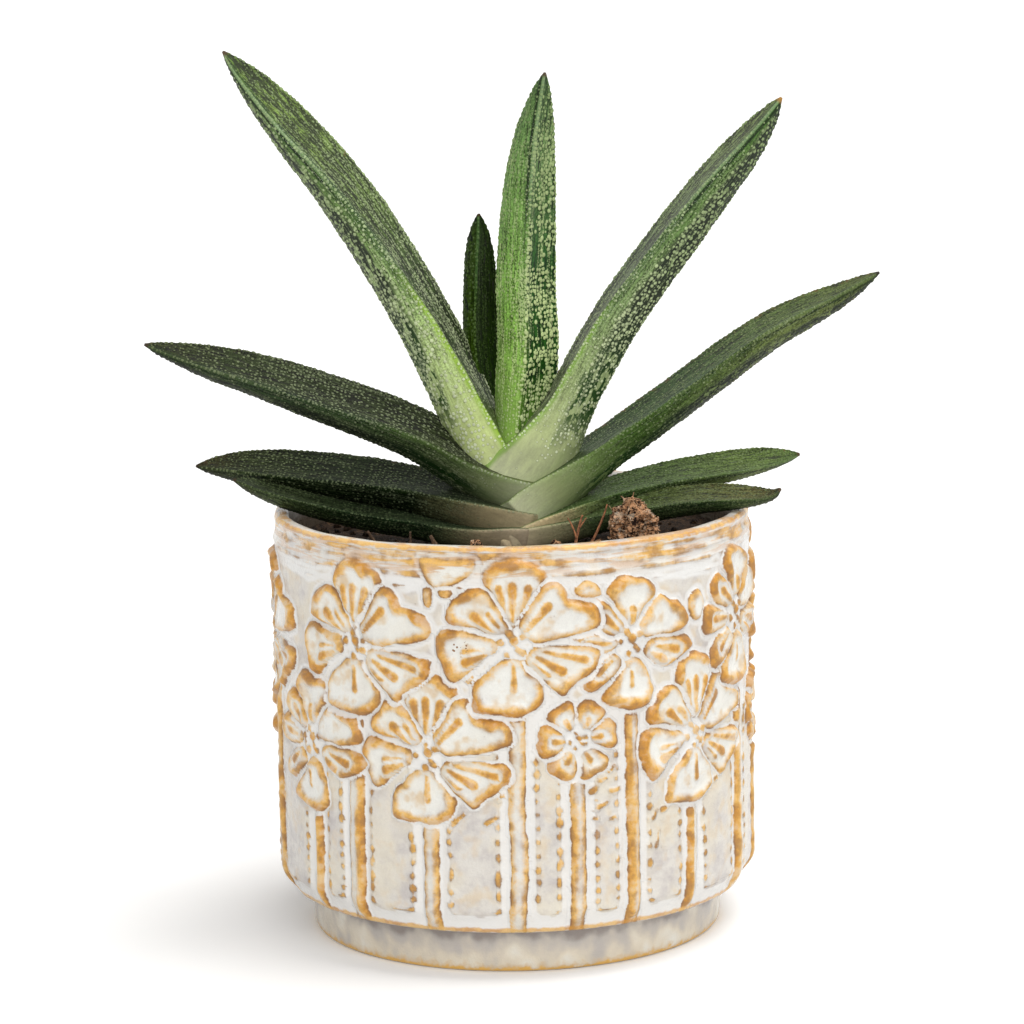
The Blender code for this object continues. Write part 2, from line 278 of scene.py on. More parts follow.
class NodePlan:
    """The nodes of a material or a world, and the one way in which they are added."""

    SEEING = ("Camera", "Glossy", "Transmission")

    def __init__(self, name: str, kind: str = "Material") -> None:
        """Start an empty plan.

        Args:
            name: The name of the material or world.
            kind: "Material" or "World".
        """
        self.kind = kind
        self.made = (bpy.data.worlds if kind == "World" else bpy.data.materials).new(name)
        self.made.use_nodes = True
        self.tree = self.made.node_tree
        self.tree.nodes.clear()

    def add(self, kind: str, settings: dict | None = None, sockets: dict | None = None, out: Any = 0) -> Any:
        """Add a node.

        Args:
            kind: Its type.
            settings: Its settings. "stops" are a ramp's (place, colour) pairs.
            sockets: Values or wires for its inputs, by name or number.
            out: The output that is wanted, or None for a node without one.

        Returns:
            That output.
        """
        node = self.tree.nodes.new(kind)
        for name, value in (settings or {}).items():
            if name != "stops":
                setattr(node, name, value)
                continue
            while len(node.color_ramp.elements) < len(value):
                node.color_ramp.elements.new(1.0)
            for element, (place, colour) in zip(node.color_ramp.elements, value):
                element.position = place
                element.color = (*colour, 1.0)
        for name, value in (sockets or {}).items():
            if isinstance(value, Wire):
                self.tree.links.new(value.socket, node.inputs[name])
            else:
                node.inputs[name].default_value = value
        return None if out is None else Wire(self, node.outputs[out])

    def sum(self, operation: str, first: Any, second: Any) -> Wire:
        """Add a Math node."""
        return self.add("ShaderNodeMath", {"operation": operation}, {0: first, 1: second})

    def most(self, first: Any, second: Any) -> Wire:
        """The larger of two values."""
        return self.sum("MAXIMUM", first, second)

    def rise(self, value: Wire, low: float, high: float) -> Wire:
        """A soft rise from 0 at low to 1 at high.

        Args:
            value: The value.
            low: Where the rise starts.
            high: Where it ends, which is below low for a fall.

        Returns:
            The rise.
        """
        if low > high:
            return 1.0 - self.rise(value, high, low)
        sockets = {"Value": value, "From Min": low, "From Max": high}
        return self.add("ShaderNodeMapRange", {"interpolation_type": "SMOOTHSTEP"}, sockets)

    def away(self, value: Wire, middle: float) -> Wire:
        """How far a value is from a middle."""
        return self.sum("ABSOLUTE", value - middle, 0.0)

    def mix(self, share: Any, first: Any, second: Any) -> Wire:
        """Mix two colours."""
        first, second = (value if isinstance(value, Wire) else (*value, 1.0) for value in (first, second))
        return self.add("ShaderNodeMix", {"data_type": "RGBA"}, {0: share, 6: first, 7: second}, 2)

    def shade(self, colour: Wire, share: Any) -> Wire:
        """Darken or lighten a colour by a factor."""
        return self.add("ShaderNodeVectorMath", {"operation": "SCALE"}, {0: colour, "Scale": share})

    def ramp(self, value: Wire, rows: tuple) -> Wire:
        """A colour that follows a value through rows of (place, red, green, blue)."""
        stops = [(place, srgb(*colour)) for place, *colour in rows]
        return self.add("ShaderNodeValToRGB", {"stops": stops}, {"Fac": value})

    def noise(self, where: Wire, scale: float, detail: float, roughness: float, twist: float = 0.0) -> Wire:
        """Cloudy values round 0.5."""
        sockets = {"Scale": scale, "Detail": detail, "Roughness": roughness, "Distortion": twist}
        return self.add("ShaderNodeTexNoise", None, {"Vector": where, **sockets})

    def cells(self, where: Wire, scale: float, out: str = "Distance") -> Wire:
        """Distances to the nearest of many scattered points."""
        return self.add("ShaderNodeTexVoronoi", None, {"Vector": where, "Scale": scale}, out)

    def place(self) -> Wire:
        """The place on the object, in mm."""
        return self.stretched(self.add("ShaderNodeTexCoord", out="Object"), (1 / MM,) * 3)

    def stretched(self, where: Wire, stretch: Triple) -> Wire:
        """A place with each axis multiplied."""
        return self.add("ShaderNodeVectorMath", {"operation": "MULTIPLY"}, {0: where, 1: stretch})

    def apart(self, first: Wire, second: Any) -> Wire:
        """How far two places are apart."""
        return self.add("ShaderNodeVectorMath", {"operation": "DISTANCE"}, {0: first, 1: second}, "Value")

    def parts(self, vector: Wire) -> tuple[Wire, Wire, Wire]:
        """A vector's three numbers."""
        outputs = self.add("ShaderNodeSeparateXYZ", None, {0: vector}).socket.node.outputs
        return Wire(self, outputs[0]), Wire(self, outputs[1]), Wire(self, outputs[2])

    def stored(self, name: str, out: str = "Color") -> Wire:
        """Values stored on the mesh."""
        return self.add("ShaderNodeAttribute", {"attribute_name": name}, None, out)

    def bump(self, height: Wire, distance: float, strength: float) -> Wire:
        """A bumpy surface."""
        sockets = {"Height": height, "Distance": distance, "Strength": strength}
        return self.add("ShaderNodeBump", None, sockets)

    def seen(self) -> Wire:
        """Where the camera looks, straight or by way of gloss or glass.

        Returns:
            1 there and 0 elsewhere.
        """
        rays = self.add("ShaderNodeLightPath").socket.node.outputs
        straight, gloss, glass = (Wire(self, rays[f"Is {kind} Ray"]) for kind in self.SEEING)
        return self.most(self.most(straight, gloss), glass)

    def finish(self, colour: Wire, roughness: Wire, normal: Wire, **constants: float) -> Material:
        """Close a material with its shader.

        Args:
            colour: Its base colour.
            roughness: Its roughness.
            normal: Its normal.
            **constants: The shader's other values, with _ for each space in a name.

        Returns:
            The material.
        """
        sockets = {"Base Color": colour, "Roughness": roughness, "Normal": normal}
        sockets |= {name.replace("_", " "): value for name, value in constants.items()}
        return self.close(self.add("ShaderNodeBsdfPrincipled", None, sockets))

    def close(self, shader: Wire) -> Any:
        """Join a shader to the output."""
        self.add("ShaderNodeOutput" + self.kind, None, {"Surface": shader}, None)
        return self.made


@dataclass(frozen=True)
class Glaze:
    """The pot's milky glaze, which breaks to amber on the raised edges and pools white beside them."""

    honey: Colour = srgb(232, 183, 96)
    deep_amber: Colour = srgb(206, 145, 52)
    # Brown glaze for patches and pits, also used as painted crease shade at the edges of raised shapes
    scorched_and_crease_shade: Colour = srgb(140, 103, 70)
    pooled: Colour = srgb(237, 236, 233)
    foot_warm: Colour = srgb(228, 216, 194)
    foot_grey: Colour = srgb(194, 187, 180)
    # Grey for the top of the foot: partly the glaze's slate mottle, partly painted shade under the skirt
    slate_and_skirt_shade: Colour = srgb(142, 132, 126)
    # Painted shade on the inner wall, deep inside the pot
    inside: Colour = srgb(96, 84, 70)
    petal: Colour = srgb(238, 237, 230)
    panel: Colour = srgb(221, 216, 208)
    lilac: Colour = srgb(194, 187, 184)
    warm: Colour = srgb(230, 221, 200)
    clay: Colour = srgb(206, 184, 152)
    stain: Colour = srgb(216, 182, 130)
    neck_streak: Colour = srgb(208, 158, 100)

    PIT_MIDDLE = (-14.9, -69.6, 96.4)
    PIT_FADE = (2.9, 2.1)
    NECK = (115.0, 118.5)
    LIP = 124.3
    LIP_REACH = (68.4, 69.2)
    HEM = 14.3
    FOOT_TOP = (13.75, 13.45)
    INSIDE_REACH = (66.4, 66.0)
    INSIDE_FLOOR = (15.0, 16.0)
    INSIDE_SHADE_LEVELS = (123.5, 118.0)
    BARE = (0.5, 0.2)

    def material(self) -> Material:
        """Make the material.

        Returns:
            The material. It reads the pot's "glaze" attribute: how deep a place lies in a raised shape and in
            its amber band, in mm, and its petal share.
        """
        plan = NodePlan("cream_glaze")
        where = plan.place()
        edge, amber, petal = plan.parts(plan.stored("glaze", "Vector"))
        across, back, height = plan.parts(where)
        ragged = plan.noise(where, 0.42, 2.0, 0.5)
        patchy = plan.noise(where, 0.13, 3.0, 0.55)
        fine = plan.noise(where, 1.5, 3.0, 0.6)
        speckle = plan.noise(where, 2.6, 3.0, 0.7)
        streaky = plan.noise(plan.stretched(where, (0.16, 0.16, 1.5)), 0.5, 3.0, 0.6)
        radius = plan.sum("POWER", across * across + back * back, 0.5)

        worn = ragged - 0.5
        neck = plan.rise(height, *self.NECK)
        broken = (streaky - 0.5) * 2.2 * neck + (fine - 0.5) * 0.4
        spread = edge + worn * 0.9 + broken
        crisp = plan.rise(spread, -0.16, 0.16) * (1.0 - neck) + plan.rise(spread, -0.6, 0.9) * neck
        soft = plan.rise(amber + worn * 0.9 + (speckle - 0.5) * 0.9 + broken, -0.6, 0.6)
        amber_share = crisp * soft * (0.66 + plan.rise(patchy + worn * 0.6, 0.32, 0.5) * 0.34)
        deep_share = plan.rise(amber + (patchy - 0.5) * 3.0 + (fine - 0.5) * 0.8, 0.2, 1.5)
        honey = plan.mix(deep_share, self.honey, self.deep_amber)
        brown_share = plan.rise(patchy + worn * 0.9, 0.44, 0.72)
        honey = plan.mix(brown_share * 0.55, honey, self.scorched_and_crease_shade)
        # A thin dark line just inside each raised shape's edge, where it meets the groove: partly the glaze's
        # brown break, partly painted crease shade
        outline = plan.rise(edge + worn * 0.9, 0.7, 0.2) * plan.rise(patchy + worn * 0.8, 0.38, 0.6)
        honey = plan.mix(outline * 0.75, honey, self.scorched_and_crease_shade)
        honey = plan.shade(honey, 0.8 + speckle * 0.4)

        recess = plan.rise(petal, -0.3, -0.8)
        petal = plan.most(petal, 0.0)
        body = plan.mix(petal, self.panel, self.petal)
        mottle = plan.rise(patchy + worn * 0.5, 0.34, 0.8)
        body = plan.mix(mottle * (1.0 - petal * 0.7), body, self.lilac)
        warm_share = plan.rise(plan.noise(where, 0.055, 3.0, 0.6), 0.42, 0.6) * (0.6 - petal * 0.4)
        body = plan.mix(warm_share, body, self.warm)
        body = plan.shade(body, 0.88 + speckle * 0.18 + fine * 0.06)
        stain = plan.rise(plan.noise(where, 0.22, 2.0, 0.5), 0.5, 0.74)
        body = plan.mix(stain * (0.3 + petal * 0.35), body, self.stain)
        body = plan.mix(neck * plan.rise(streaky, 0.46, 0.55) * 0.8, body, self.neck_streak)
        outside = plan.rise(edge, 0.3, 0.0)
        pooled_share = plan.rise(edge + worn * 0.8, -2.1, -1.0) * outside * (1.0 - recess)
        body = plan.mix(pooled_share * (1.0 - neck * 0.6) * 0.92, body, self.pooled)
        wall = plan.mix(amber_share, body, honey)

        flow = plan.mix(plan.rise(patchy + worn * 0.5, 0.42, 0.6), self.honey, self.deep_amber)
        flow = plan.shade(flow, 0.8 + speckle * 0.4)
        rim = plan.away(height, self.LIP) + worn * 2.0 + (streaky - 0.5) * 2.6
        rim = plan.rise(rim, 0.8, 0.1) * plan.rise(radius, *self.LIP_REACH)
        wall = plan.mix(rim * 0.85, wall, flow)
        hem = plan.rise(plan.away(height, self.HEM) + worn * 1.8, 1.2, 0.3)
        wall = plan.mix(hem * 0.85, wall, flow)
        pits = plan.rise(plan.cells(where, 0.95), 0.34, 0.22)
        pits = pits * plan.rise(plan.apart(where, self.PIT_MIDDLE), *self.PIT_FADE)
        wall = plan.mix(pits, wall, self.scorched_and_crease_shade)

        runs = plan.noise(plan.stretched(where, (1.0, 1.0, 0.7)), 0.1, 2.0, 0.5)
        greyed = plan.rise(runs + worn * 0.1 + height * 0.02, 0.5, 0.8)
        foot_body = plan.mix(greyed, self.foot_warm, self.foot_grey)
        foot_body = plan.mix(plan.rise(runs + worn * 0.06, 0.52, 0.24) * 0.75, foot_body, self.petal)
        # Painted shade: the top of the foot, under the skirt's overhang, darkens towards a grey that is
        # partly the glaze's own slate mottle
        shaded = plan.rise(height + worn * 2.0 + (runs - 0.5) * 16.0, 9.8, 13.2)
        foot_body = plan.mix(shaded * 0.8, foot_body, self.slate_and_skirt_shade)
        foot_body = plan.shade(foot_body, 0.93 + speckle * 0.14)
        foot_body = plan.mix(plan.rise(height + worn * 5.0, 3.0, 1.0) * 0.6, foot_body, self.stain)
        foot_body = plan.mix(plan.rise(height + worn * 3.0, 1.7, 0.7), foot_body, self.honey)
        foot_share = plan.rise(height, *self.FOOT_TOP)
        colour = plan.mix(foot_share, wall, foot_body)
        inner = plan.rise(radius, *self.INSIDE_REACH) * plan.rise(height, *self.INSIDE_FLOOR)
        # Painted shade: below the lip, the inner wall darkens to a dark brown
        below = plan.rise(height, *self.INSIDE_SHADE_LEVELS)
        inside = plan.mix(below, plan.mix(patchy, self.petal, self.lilac), self.inside)
        colour = plan.mix(inner, colour, inside)
        bare = plan.rise(height, *self.BARE)
        clay = plan.shade(plan.mix(patchy, self.clay, self.warm), 0.9 + speckle * 0.2)
        colour = plan.mix(bare, colour, clay)

        rough = 0.2 + amber_share * 0.12 + speckle * 0.1 + bare * 0.45
        pores = plan.rise(plan.cells(where, 0.55), 0.1, 0.03) * plan.rise(patchy, 0.55, 0.7)
        cut = plan.rise(edge, -0.5, 0.6) * 0.6 + plan.rise(amber, -0.8, 0.3) * 0.3
        height_map = ragged * 0.6 + fine * 0.3 + speckle * 0.12 - pores * 0.8 + cut
        normal = plan.bump(height_map, 0.0005, 0.9)
        gloss = {"Coat_Weight": 0.2, "Coat_Roughness": 0.15, "Specular_IOR_Level": 0.35}
        return plan.finish(colour, rough, normal, **gloss)


@dataclass(frozen=True)
class LeafSkin:
    """A leaf's colours, and how strongly each marking shows.

    A ramp is rows of (place, red, green, blue) from base to tip. The front face lies between the ridge and
    the keel, and the inner face between the ridge and the upper margin.
    """

    front: tuple
    inner: tuple
    dots: tuple = ((0.0, 232, 238, 212), (0.25, 214, 226, 180), (0.6, 176, 194, 142), (1.0, 140, 160, 110))
    blotch_colour: Colour = srgb(30, 38, 30)
    blotch: float = 0.4
    blotch_from: float = 0.5
    streak_colour: Colour = srgb(48, 48, 44)
    streak: float = 0.3
    glow_colour: Colour = srgb(134, 178, 62)
    glow: float = 0.05
    ridge_highlight_colour: Colour = srgb(150, 178, 128)
    ridge_highlight: float = 0.55
    # How strongly the painted shade of the groove beside the ridge shows
    groove: float = 0.7
    sparkle: float = 0.5
    brown: float = 0.1
    grain: float = 0.4
    contrast: float = 1.0
    # How much darker the whole leaf is made: partly its own deeper green, partly painted shade where a leaf
    # lies in the shade of others
    tone: float = 1.0
    strip_colour: Colour = srgb(168, 184, 134)
    strip_share: float = 0.0
    shine: float = 0.15
    beads: float = 0.3
    narrow: float = 0.34
    glint: float = 0.0
    glint_colour: Colour = srgb(112, 130, 90)
    tip_colour: Colour = srgb(78, 62, 42)
    sunk: float = 0.6
    young_blotch: Colour = srgb(20, 64, 14)
    sparse: float = 0.0
    ridge_side: Colour = srgb(42, 74, 30)
    furrow_shade_colour: Colour = srgb(20, 34, 14)
    spark_colour: Colour = srgb(190, 202, 178)
    rust_colour: Colour = srgb(112, 84, 56)

    FURROW_SHADE_AT = 1.15

    def material(self, name: str) -> Material:
        """Make the material.

        Args:
            name: Its name.

        Returns:
            The material. It reads the leaf's "lay", "reach", "skin", "spot" and "girth" attributes.
        """
        plan = NodePlan(name)
        along, front, inner = plan.parts(plan.stored("lay", "Vector"))
        share, ridge, margin = plan.parts(plan.stored("reach", "Vector"))
        skin = plan.stored("skin", "Vector")
        grain = plan.noise(skin, 1.15, 3.0, 0.65)
        soft = plan.noise(plan.stretched(skin, (0.35, 1.0, 1.0)), 0.35, 3.0, 0.6)
        stripe = plan.noise(plan.stretched(skin, (0.2, 1.0, 1.0)), 0.95, 3.0, 0.6, 0.2)
        fine_stripe = plan.noise(plan.stretched(skin, (0.1, 1.0, 1.0)), 1.5, 3.0, 0.6)

        front_colour = plan.ramp(along + (soft - 0.5) * 0.1, self.front)
        inner_colour = plan.ramp(along + (stripe - 0.5) * 0.12, self.inner)
        colour = plan.mix(inner, front_colour, inner_colour)
        back = 1.0 - front - inner
        colour = plan.mix(back * 0.35, colour, inner_colour)
        lengthwise = 0.12 + plan.rise(along, 0.05, 0.25) * 0.88
        speck = plan.noise(skin, 1.9, 2.0, 0.6)
        lines = plan.rise(fine_stripe, 0.36, 0.64)
        grit = plan.rise(speck * 0.6 + grain * 0.4, 0.38, 0.62)
        broad = plan.rise(soft, 0.34, 0.66)
        fleck = (0.05 + plan.rise(along, 0.1, 0.42) * 0.53) * self.contrast
        uneven = 1.0 + (grit - 0.5) * fleck + (lines - 0.5) * fleck * 0.8
        colour = plan.shade(colour, uneven + (broad - 0.5) * 0.24)

        grown = plan.rise(along + (soft - 0.5) * 0.1, 0.08, 0.22)
        narrowing = plan.rise(along, 0.5, 0.14) * self.narrow
        near_keel = share + (soft - 0.5) * 0.35 - narrowing
        strip = plan.rise(near_keel, self.blotch_from - 0.05, self.blotch_from + 0.12)
        strip = strip * plan.most(front, back) * grown
        patch = plan.noise(plan.stretched(skin, (0.5, 1.0, 1.0)), 0.52, 2.0, 0.5)
        level = 0.62 - self.blotch * 0.22
        young = plan.rise(along, 0.5, 0.2)
        dark = plan.rise(patch + (grain - 0.5) * 0.2 - young * self.sparse, level, level + 0.05) * strip
        colour = plan.mix(strip * self.strip_share * (0.6 + grain * 0.6), colour, self.strip_colour)
        colour = plan.mix(dark * 0.95, colour, plan.mix(young, self.blotch_colour, self.young_blotch))
        level = 0.66 - self.streak * 0.24
        streaks = plan.rise(stripe + (grain - 0.5) * 0.16, level, level + 0.07) * inner * grown
        colour = plan.mix(streaks * 0.85, colour, self.streak_colour)

        band = plan.rise(ridge + (soft - 0.5) * 1.5, 2.6, 1.0) * plan.rise(along, 0.3, 0.45)
        colour = plan.mix(band * 0.55 * self.sparkle, colour, self.ridge_side)
        glow = plan.rise(ridge + (soft - 0.5) * 1.2, 1.9, 0.4) * plan.rise(along, 0.5, 0.34)
        colour = plan.mix(glow * self.glow, colour, self.glow_colour)
        # Painted highlight: a pale line along the ridge towards the tip
        lit = plan.rise(ridge, 0.75, 0.3) * plan.rise(along, 0.62, 0.8) * self.ridge_highlight
        # Painted shade: a dark line on the front face beside the ridge, where a groove would lie in shade
        furrow = plan.rise(plan.away(ridge, self.FURROW_SHADE_AT), 0.6, 0.2) * plan.rise(along, 0.55, 0.72)
        colour = plan.mix(furrow * front * self.groove, colour, self.furrow_shade_colour)
        colour = plan.mix(lit, colour, self.ridge_highlight_colour)

        apart = plan.apart(skin, plan.stored("spot", "Vector"))
        size, tone, crisp = plan.parts(plan.stored("girth", "Vector"))
        inside = size + (grain - 0.5) * 0.22 - apart
        dot = plan.rise(inside, -0.04, 0.12)
        dot_colour = plan.ramp(along, self.dots)
        dot_colour = plan.shade(dot_colour, 0.86 + tone * 0.3)
        crisp = crisp * (1.0 - dark * self.sunk)
        colour = plan.mix(dot * crisp, colour, dot_colour)
        ring = plan.rise(inside, -0.34, -0.06) - dot
        colour = plan.shade(colour, 1.0 - ring * crisp * 0.16)

        rows = plan.noise(plan.stretched(skin, (0.015, 1.0, 1.0)), 0.62, 1.0, 0.5)
        threads = plan.rise(plan.away(rows, 0.5), 0.06, 0.02) * plan.rise(speck, 0.44, 0.56)
        threads = threads * plan.rise(along, 0.1, 0.2) * plan.rise(along, 0.97, 0.85)
        colour = plan.mix(threads * self.beads, colour, dot_colour)
        glints = plan.rise(plan.noise(skin, 1.3, 2.0, 0.6), 0.56, 0.64) * plan.rise(along, 0.14, 0.34)
        colour = plan.mix(glints * self.glint, colour, self.glint_colour)
        spark = plan.rise(plan.noise(skin, 2.9, 2.0, 0.7), 0.6, 0.68)
        spark = spark * plan.rise(ridge, 3.2, 0.8) * plan.rise(along, 0.16, 0.4) * plan.rise(along, 0.94, 0.8)
        colour = plan.mix(spark * self.sparkle, colour, self.spark_colour)
        rust = plan.rise(plan.noise(skin, 0.5, 3.0, 0.6), 0.62 - self.brown * 0.16, 0.7 - self.brown * 0.16)
        rust = rust * plan.rise(margin, 2.6, 0.6) * grown * plan.rise(soft, 0.5 - self.brown * 0.3, 0.6)
        colour = plan.mix(rust * 0.7, colour, self.rust_colour)
        point = plan.rise(along, 0.985, 0.996)
        colour = plan.mix(point, colour, self.tip_colour)

        rough = 0.36 + grain * 0.3
        raised = dot * (0.15 + crisp * 0.35) * lengthwise
        relief = raised + (grain * self.grain + fine_stripe * 0.35 + speck * 0.3) * lengthwise
        normal = plan.bump(relief, 0.0004, 0.9)
        # Darken the whole leaf by its tone, which is partly painted shade for leaves in the shade of others
        colour = plan.shade(colour, 1.0 + (grown * 0.3 + 0.7) * (self.tone - 1.0))
        return plan.finish(colour, rough, normal, Specular_IOR_Level=self.shine)


@dataclass(frozen=True)
class Earth:
    """Crumbly matter: dark potting soil, or drier and browner peat."""

    name: str
    dark: Colour
    light: Colour
    fibre: Colour
    fibres: float = 0.3
    scale: float = 1.0

    def material(self) -> Material:
        """Make the material.

        Returns:
            The material.
        """
        plan = NodePlan(self.name)
        where = plan.place()
        lumps = plan.noise(where, 0.55 * self.scale, 5.0, 0.7)
        grit = plan.noise(where, 2.2 * self.scale, 4.0, 0.7)
        colour = plan.mix(plan.rise(lumps * 0.6 + grit * 0.4, 0.43, 0.57), self.dark, self.light)
        strand = plan.noise(plan.stretched(where, (0.3, 1.5, 1.0)), 1.5 * self.scale, 2.0, 0.6, 1.4)
        strands = plan.rise(strand, 0.6, 0.66) * plan.rise(lumps, 0.4, 0.62)
        colour = plan.mix(strands * self.fibres, colour, self.fibre)
        tone = plan.parts(plan.cells(where, 0.9 * self.scale, "Color"))[0]
        colour = plan.mix(plan.rise(tone, 0.86, 0.95) * 0.35, colour, self.fibre)
        colour = plan.mix(plan.stored("loose", "Fac"), colour, plan.mix(grit, self.light, self.fibre))
        normal = plan.bump(lumps * 0.9 + grit * 0.6 + strands * 0.2, 0.0007, 1.0)
        return plan.finish(colour, 0.85 + grit * 0.12, normal, Specular_IOR_Level=0.2)


@dataclass(frozen=True)
class Straw:
    """A dry stalk or a splinter of bark."""

    name: str
    body: Colour
    dark: Colour

    def material(self) -> Material:
        """Make the material.

        Returns:
            The material. It reads the stick's "skin" attribute, whose x runs along it.
        """
        plan = NodePlan(self.name)
        skin = plan.stored("skin", "Vector")
        lines = plan.noise(plan.stretched(skin, (0.2, 1.0, 1.0)), 3.0, 3.0, 0.6)
        knots = plan.noise(plan.stretched(skin, (1.0, 0.3, 0.3)), 0.9, 2.0, 0.6)
        colour = plan.mix(plan.rise(lines * 0.6 + knots * 0.4, 0.4, 0.6), self.dark, self.body)
        return plan.finish(colour, 0.7 + lines * 0.2, plan.bump(lines + knots, 0.0002, 0.7))


@dataclass(frozen=True)
class Crown:
    """The pale flesh of the stem where the leaves join."""

    pale: Colour = srgb(196, 200, 160)
    green: Colour = srgb(128, 150, 84)

    def material(self) -> Material:
        """Make the material.

        Returns:
            The material.
        """
        plan = NodePlan("crown_flesh")
        where = plan.place()
        lines = plan.noise(plan.stretched(where, (1.0, 1.0, 0.2)), 1.2, 3.0, 0.6)
        colour = plan.mix(plan.rise(lines, 0.4, 0.65), self.pale, self.green)
        return plan.finish(colour, 0.5 + lines * 0.15, plan.bump(lines, 0.0002, 0.6))


@dataclass(frozen=True)
class FloorPaint:
    """The studio's white floor, which shows white and keeps the object's shadow."""

    lift: float = 0.05

    def material(self) -> Material:
        """Make the material.

        Returns:
            The material.
        """
        plan = NodePlan("white_floor")
        paint = plan.add("ShaderNodeBsdfDiffuse", None, {"Color": (1.0, 1.0, 1.0, 1.0)})
        plain = plan.add("ShaderNodeBsdfDiffuse", None, {"Color": (0.8, 0.8, 0.8, 1.0)})
        glow = plan.add("ShaderNodeEmission", None, {"Strength": self.lift})
        lit = plan.add("ShaderNodeAddShader", None, {0: paint, 1: glow})
        return plan.close(plan.add("ShaderNodeMixShader", None, {0: plan.seen(), 1: plain, 2: lit}))


# Modelling


def add_primitive(name: str, add: Callable[..., Any], **sizes: Any) -> Object:
    """Add a primitive, its place kept in its mesh.

    Args:
        name: Its name.
        add: The operator that adds it.
        **sizes: The operator's settings.

    Returns:
        The object.
    """
    bpy.ops.object.select_all(action="DESELECT")
    add(**sizes)
    obj = bpy.context.object
    obj.name = name
    obj.data.name = name
    bpy.ops.object.transform_apply(location=True, rotation=True, scale=True)
    return obj


def edit(obj: Object, mode: str) -> None:
    """Open an object in edit mode with nothing selected.

    Args:
        obj: The object.
        mode: "VERT", "EDGE" or "FACE".
    """
    bpy.context.view_layer.objects.active = obj
    bpy.ops.object.mode_set(mode="EDIT")
    bpy.ops.mesh.select_mode(type=mode)
    bpy.ops.mesh.select_all(action="DESELECT")


def end_edit() -> None:
    """Go back to object mode."""
    bpy.ops.object.mode_set(mode="OBJECT")


def choose(main: Object, *others: Object) -> None:
    """Select objects only, one of them active.

    Args:
        main: The active one.
        *others: The others.
    """
    bpy.ops.object.select_all(action="DESELECT")
    for obj in (*others, main):
        obj.select_set(True)
    bpy.context.view_layer.objects.active = main


def pick(obj: Object, kind: str, wanted: Callable[[Any], bool]) -> None:
    """Select what passes a test.

    Args:
        obj: The object, in edit mode.
        kind: "edges" or "faces".
        wanted: The test.
    """
    shape = bmesh.from_edit_mesh(obj.data)
    for part in getattr(shape, kind):
        part.select_set(wanted(part))
    bmesh.update_edit_mesh(obj.data)


def add_tube(
    name: str, around: int, cuts: tuple[int, ...], radius: float, low: float, high: float, ends: str
) -> Object:
    """A closed upright tube with even rows. Sizes in mm.

    Args:
        name: Its name.
        around: How many faces go round it.
        cuts: How many cuts each pass makes along its upright edges.
        radius: Its radius.
        low: Its lower end.
        high: Its upper end.
        ends: "NGON" for one face at each end, "TRIFAN" for a fan.

    Returns:
        The tube.
    """
    tube = add_primitive(
        name,
        bpy.ops.mesh.primitive_cylinder_add,
        vertices=around,
        radius=radius * MM,
        depth=(high - low) * MM,
        location=(0, 0, (low + high) / 2 * MM),
        end_fill_type=ends,
    )
    edit(tube, "EDGE")
    for count in cuts:
        pick(tube, "edges", lambda edge: abs(edge.verts[0].co.z - edge.verts[1].co.z) > 1e-6)
        bpy.ops.mesh.subdivide(number_cuts=count)
    end_edit()
    return tube


def places_of(parts: Any, kind: str = "co") -> Array:
    """The places of a mesh's vertices or faces, in mm.

    Args:
        parts: The vertices or faces.
        kind: "co" for vertices, "center" for faces.

    Returns:
        The places, one a row.
    """
    places = np.empty(len(parts) * 3)
    parts.foreach_get(kind, places)
    return places.reshape(-1, 3) / MM


def move_corners(obj: Object, places: Array) -> None:
    """Put a mesh's vertices at places in mm."""
    obj.data.vertices.foreach_set("co", (places * MM).ravel())
    obj.data.update()


def store(obj: Object, name: str, values: Array, domain: str = "POINT") -> None:
    """Store three numbers for each vertex or face."""
    attribute = obj.data.attributes.new(name, "FLOAT_VECTOR", domain)
    attribute.data.foreach_set("vector", np.ascontiguousarray(values, np.float32).ravel())


def finish_piece(obj: Object, material: Material, slot: str, node: str) -> None:
    """Smooth and dress a piece, attach it to its body, and hide the node that it stands for.

    Args:
        obj: The piece.
        material: Its material.
        slot: The slot that its finish comes from.
        node: The node that it stands for.
    """
    edit(obj, "VERT")
    bpy.ops.mesh.select_all(action="SELECT")
    bpy.ops.mesh.normals_make_consistent(inside=False)
    end_edit()
    choose(obj)
    bpy.ops.object.shade_smooth()
    obj.data.materials.clear()
    obj.data.materials.append(material)
    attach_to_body(obj, BODY)
    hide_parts(node)
    log.info("%s: %d faces, slot %s", obj.name, len(obj.data.polygons), slot)


# The pot


@dataclass(frozen=True)
class Petal:
    """One petal, as (bearing, reach) points round its edge, with its veins.

    Bearings are in degrees and reaches in mm from the blossom's middle. A vein is
    (bearing, start, end, width at its outer end).
    """

    edge: tuple[Pair, ...]
    veins: tuple[tuple[float, float, float, float], ...] = ()


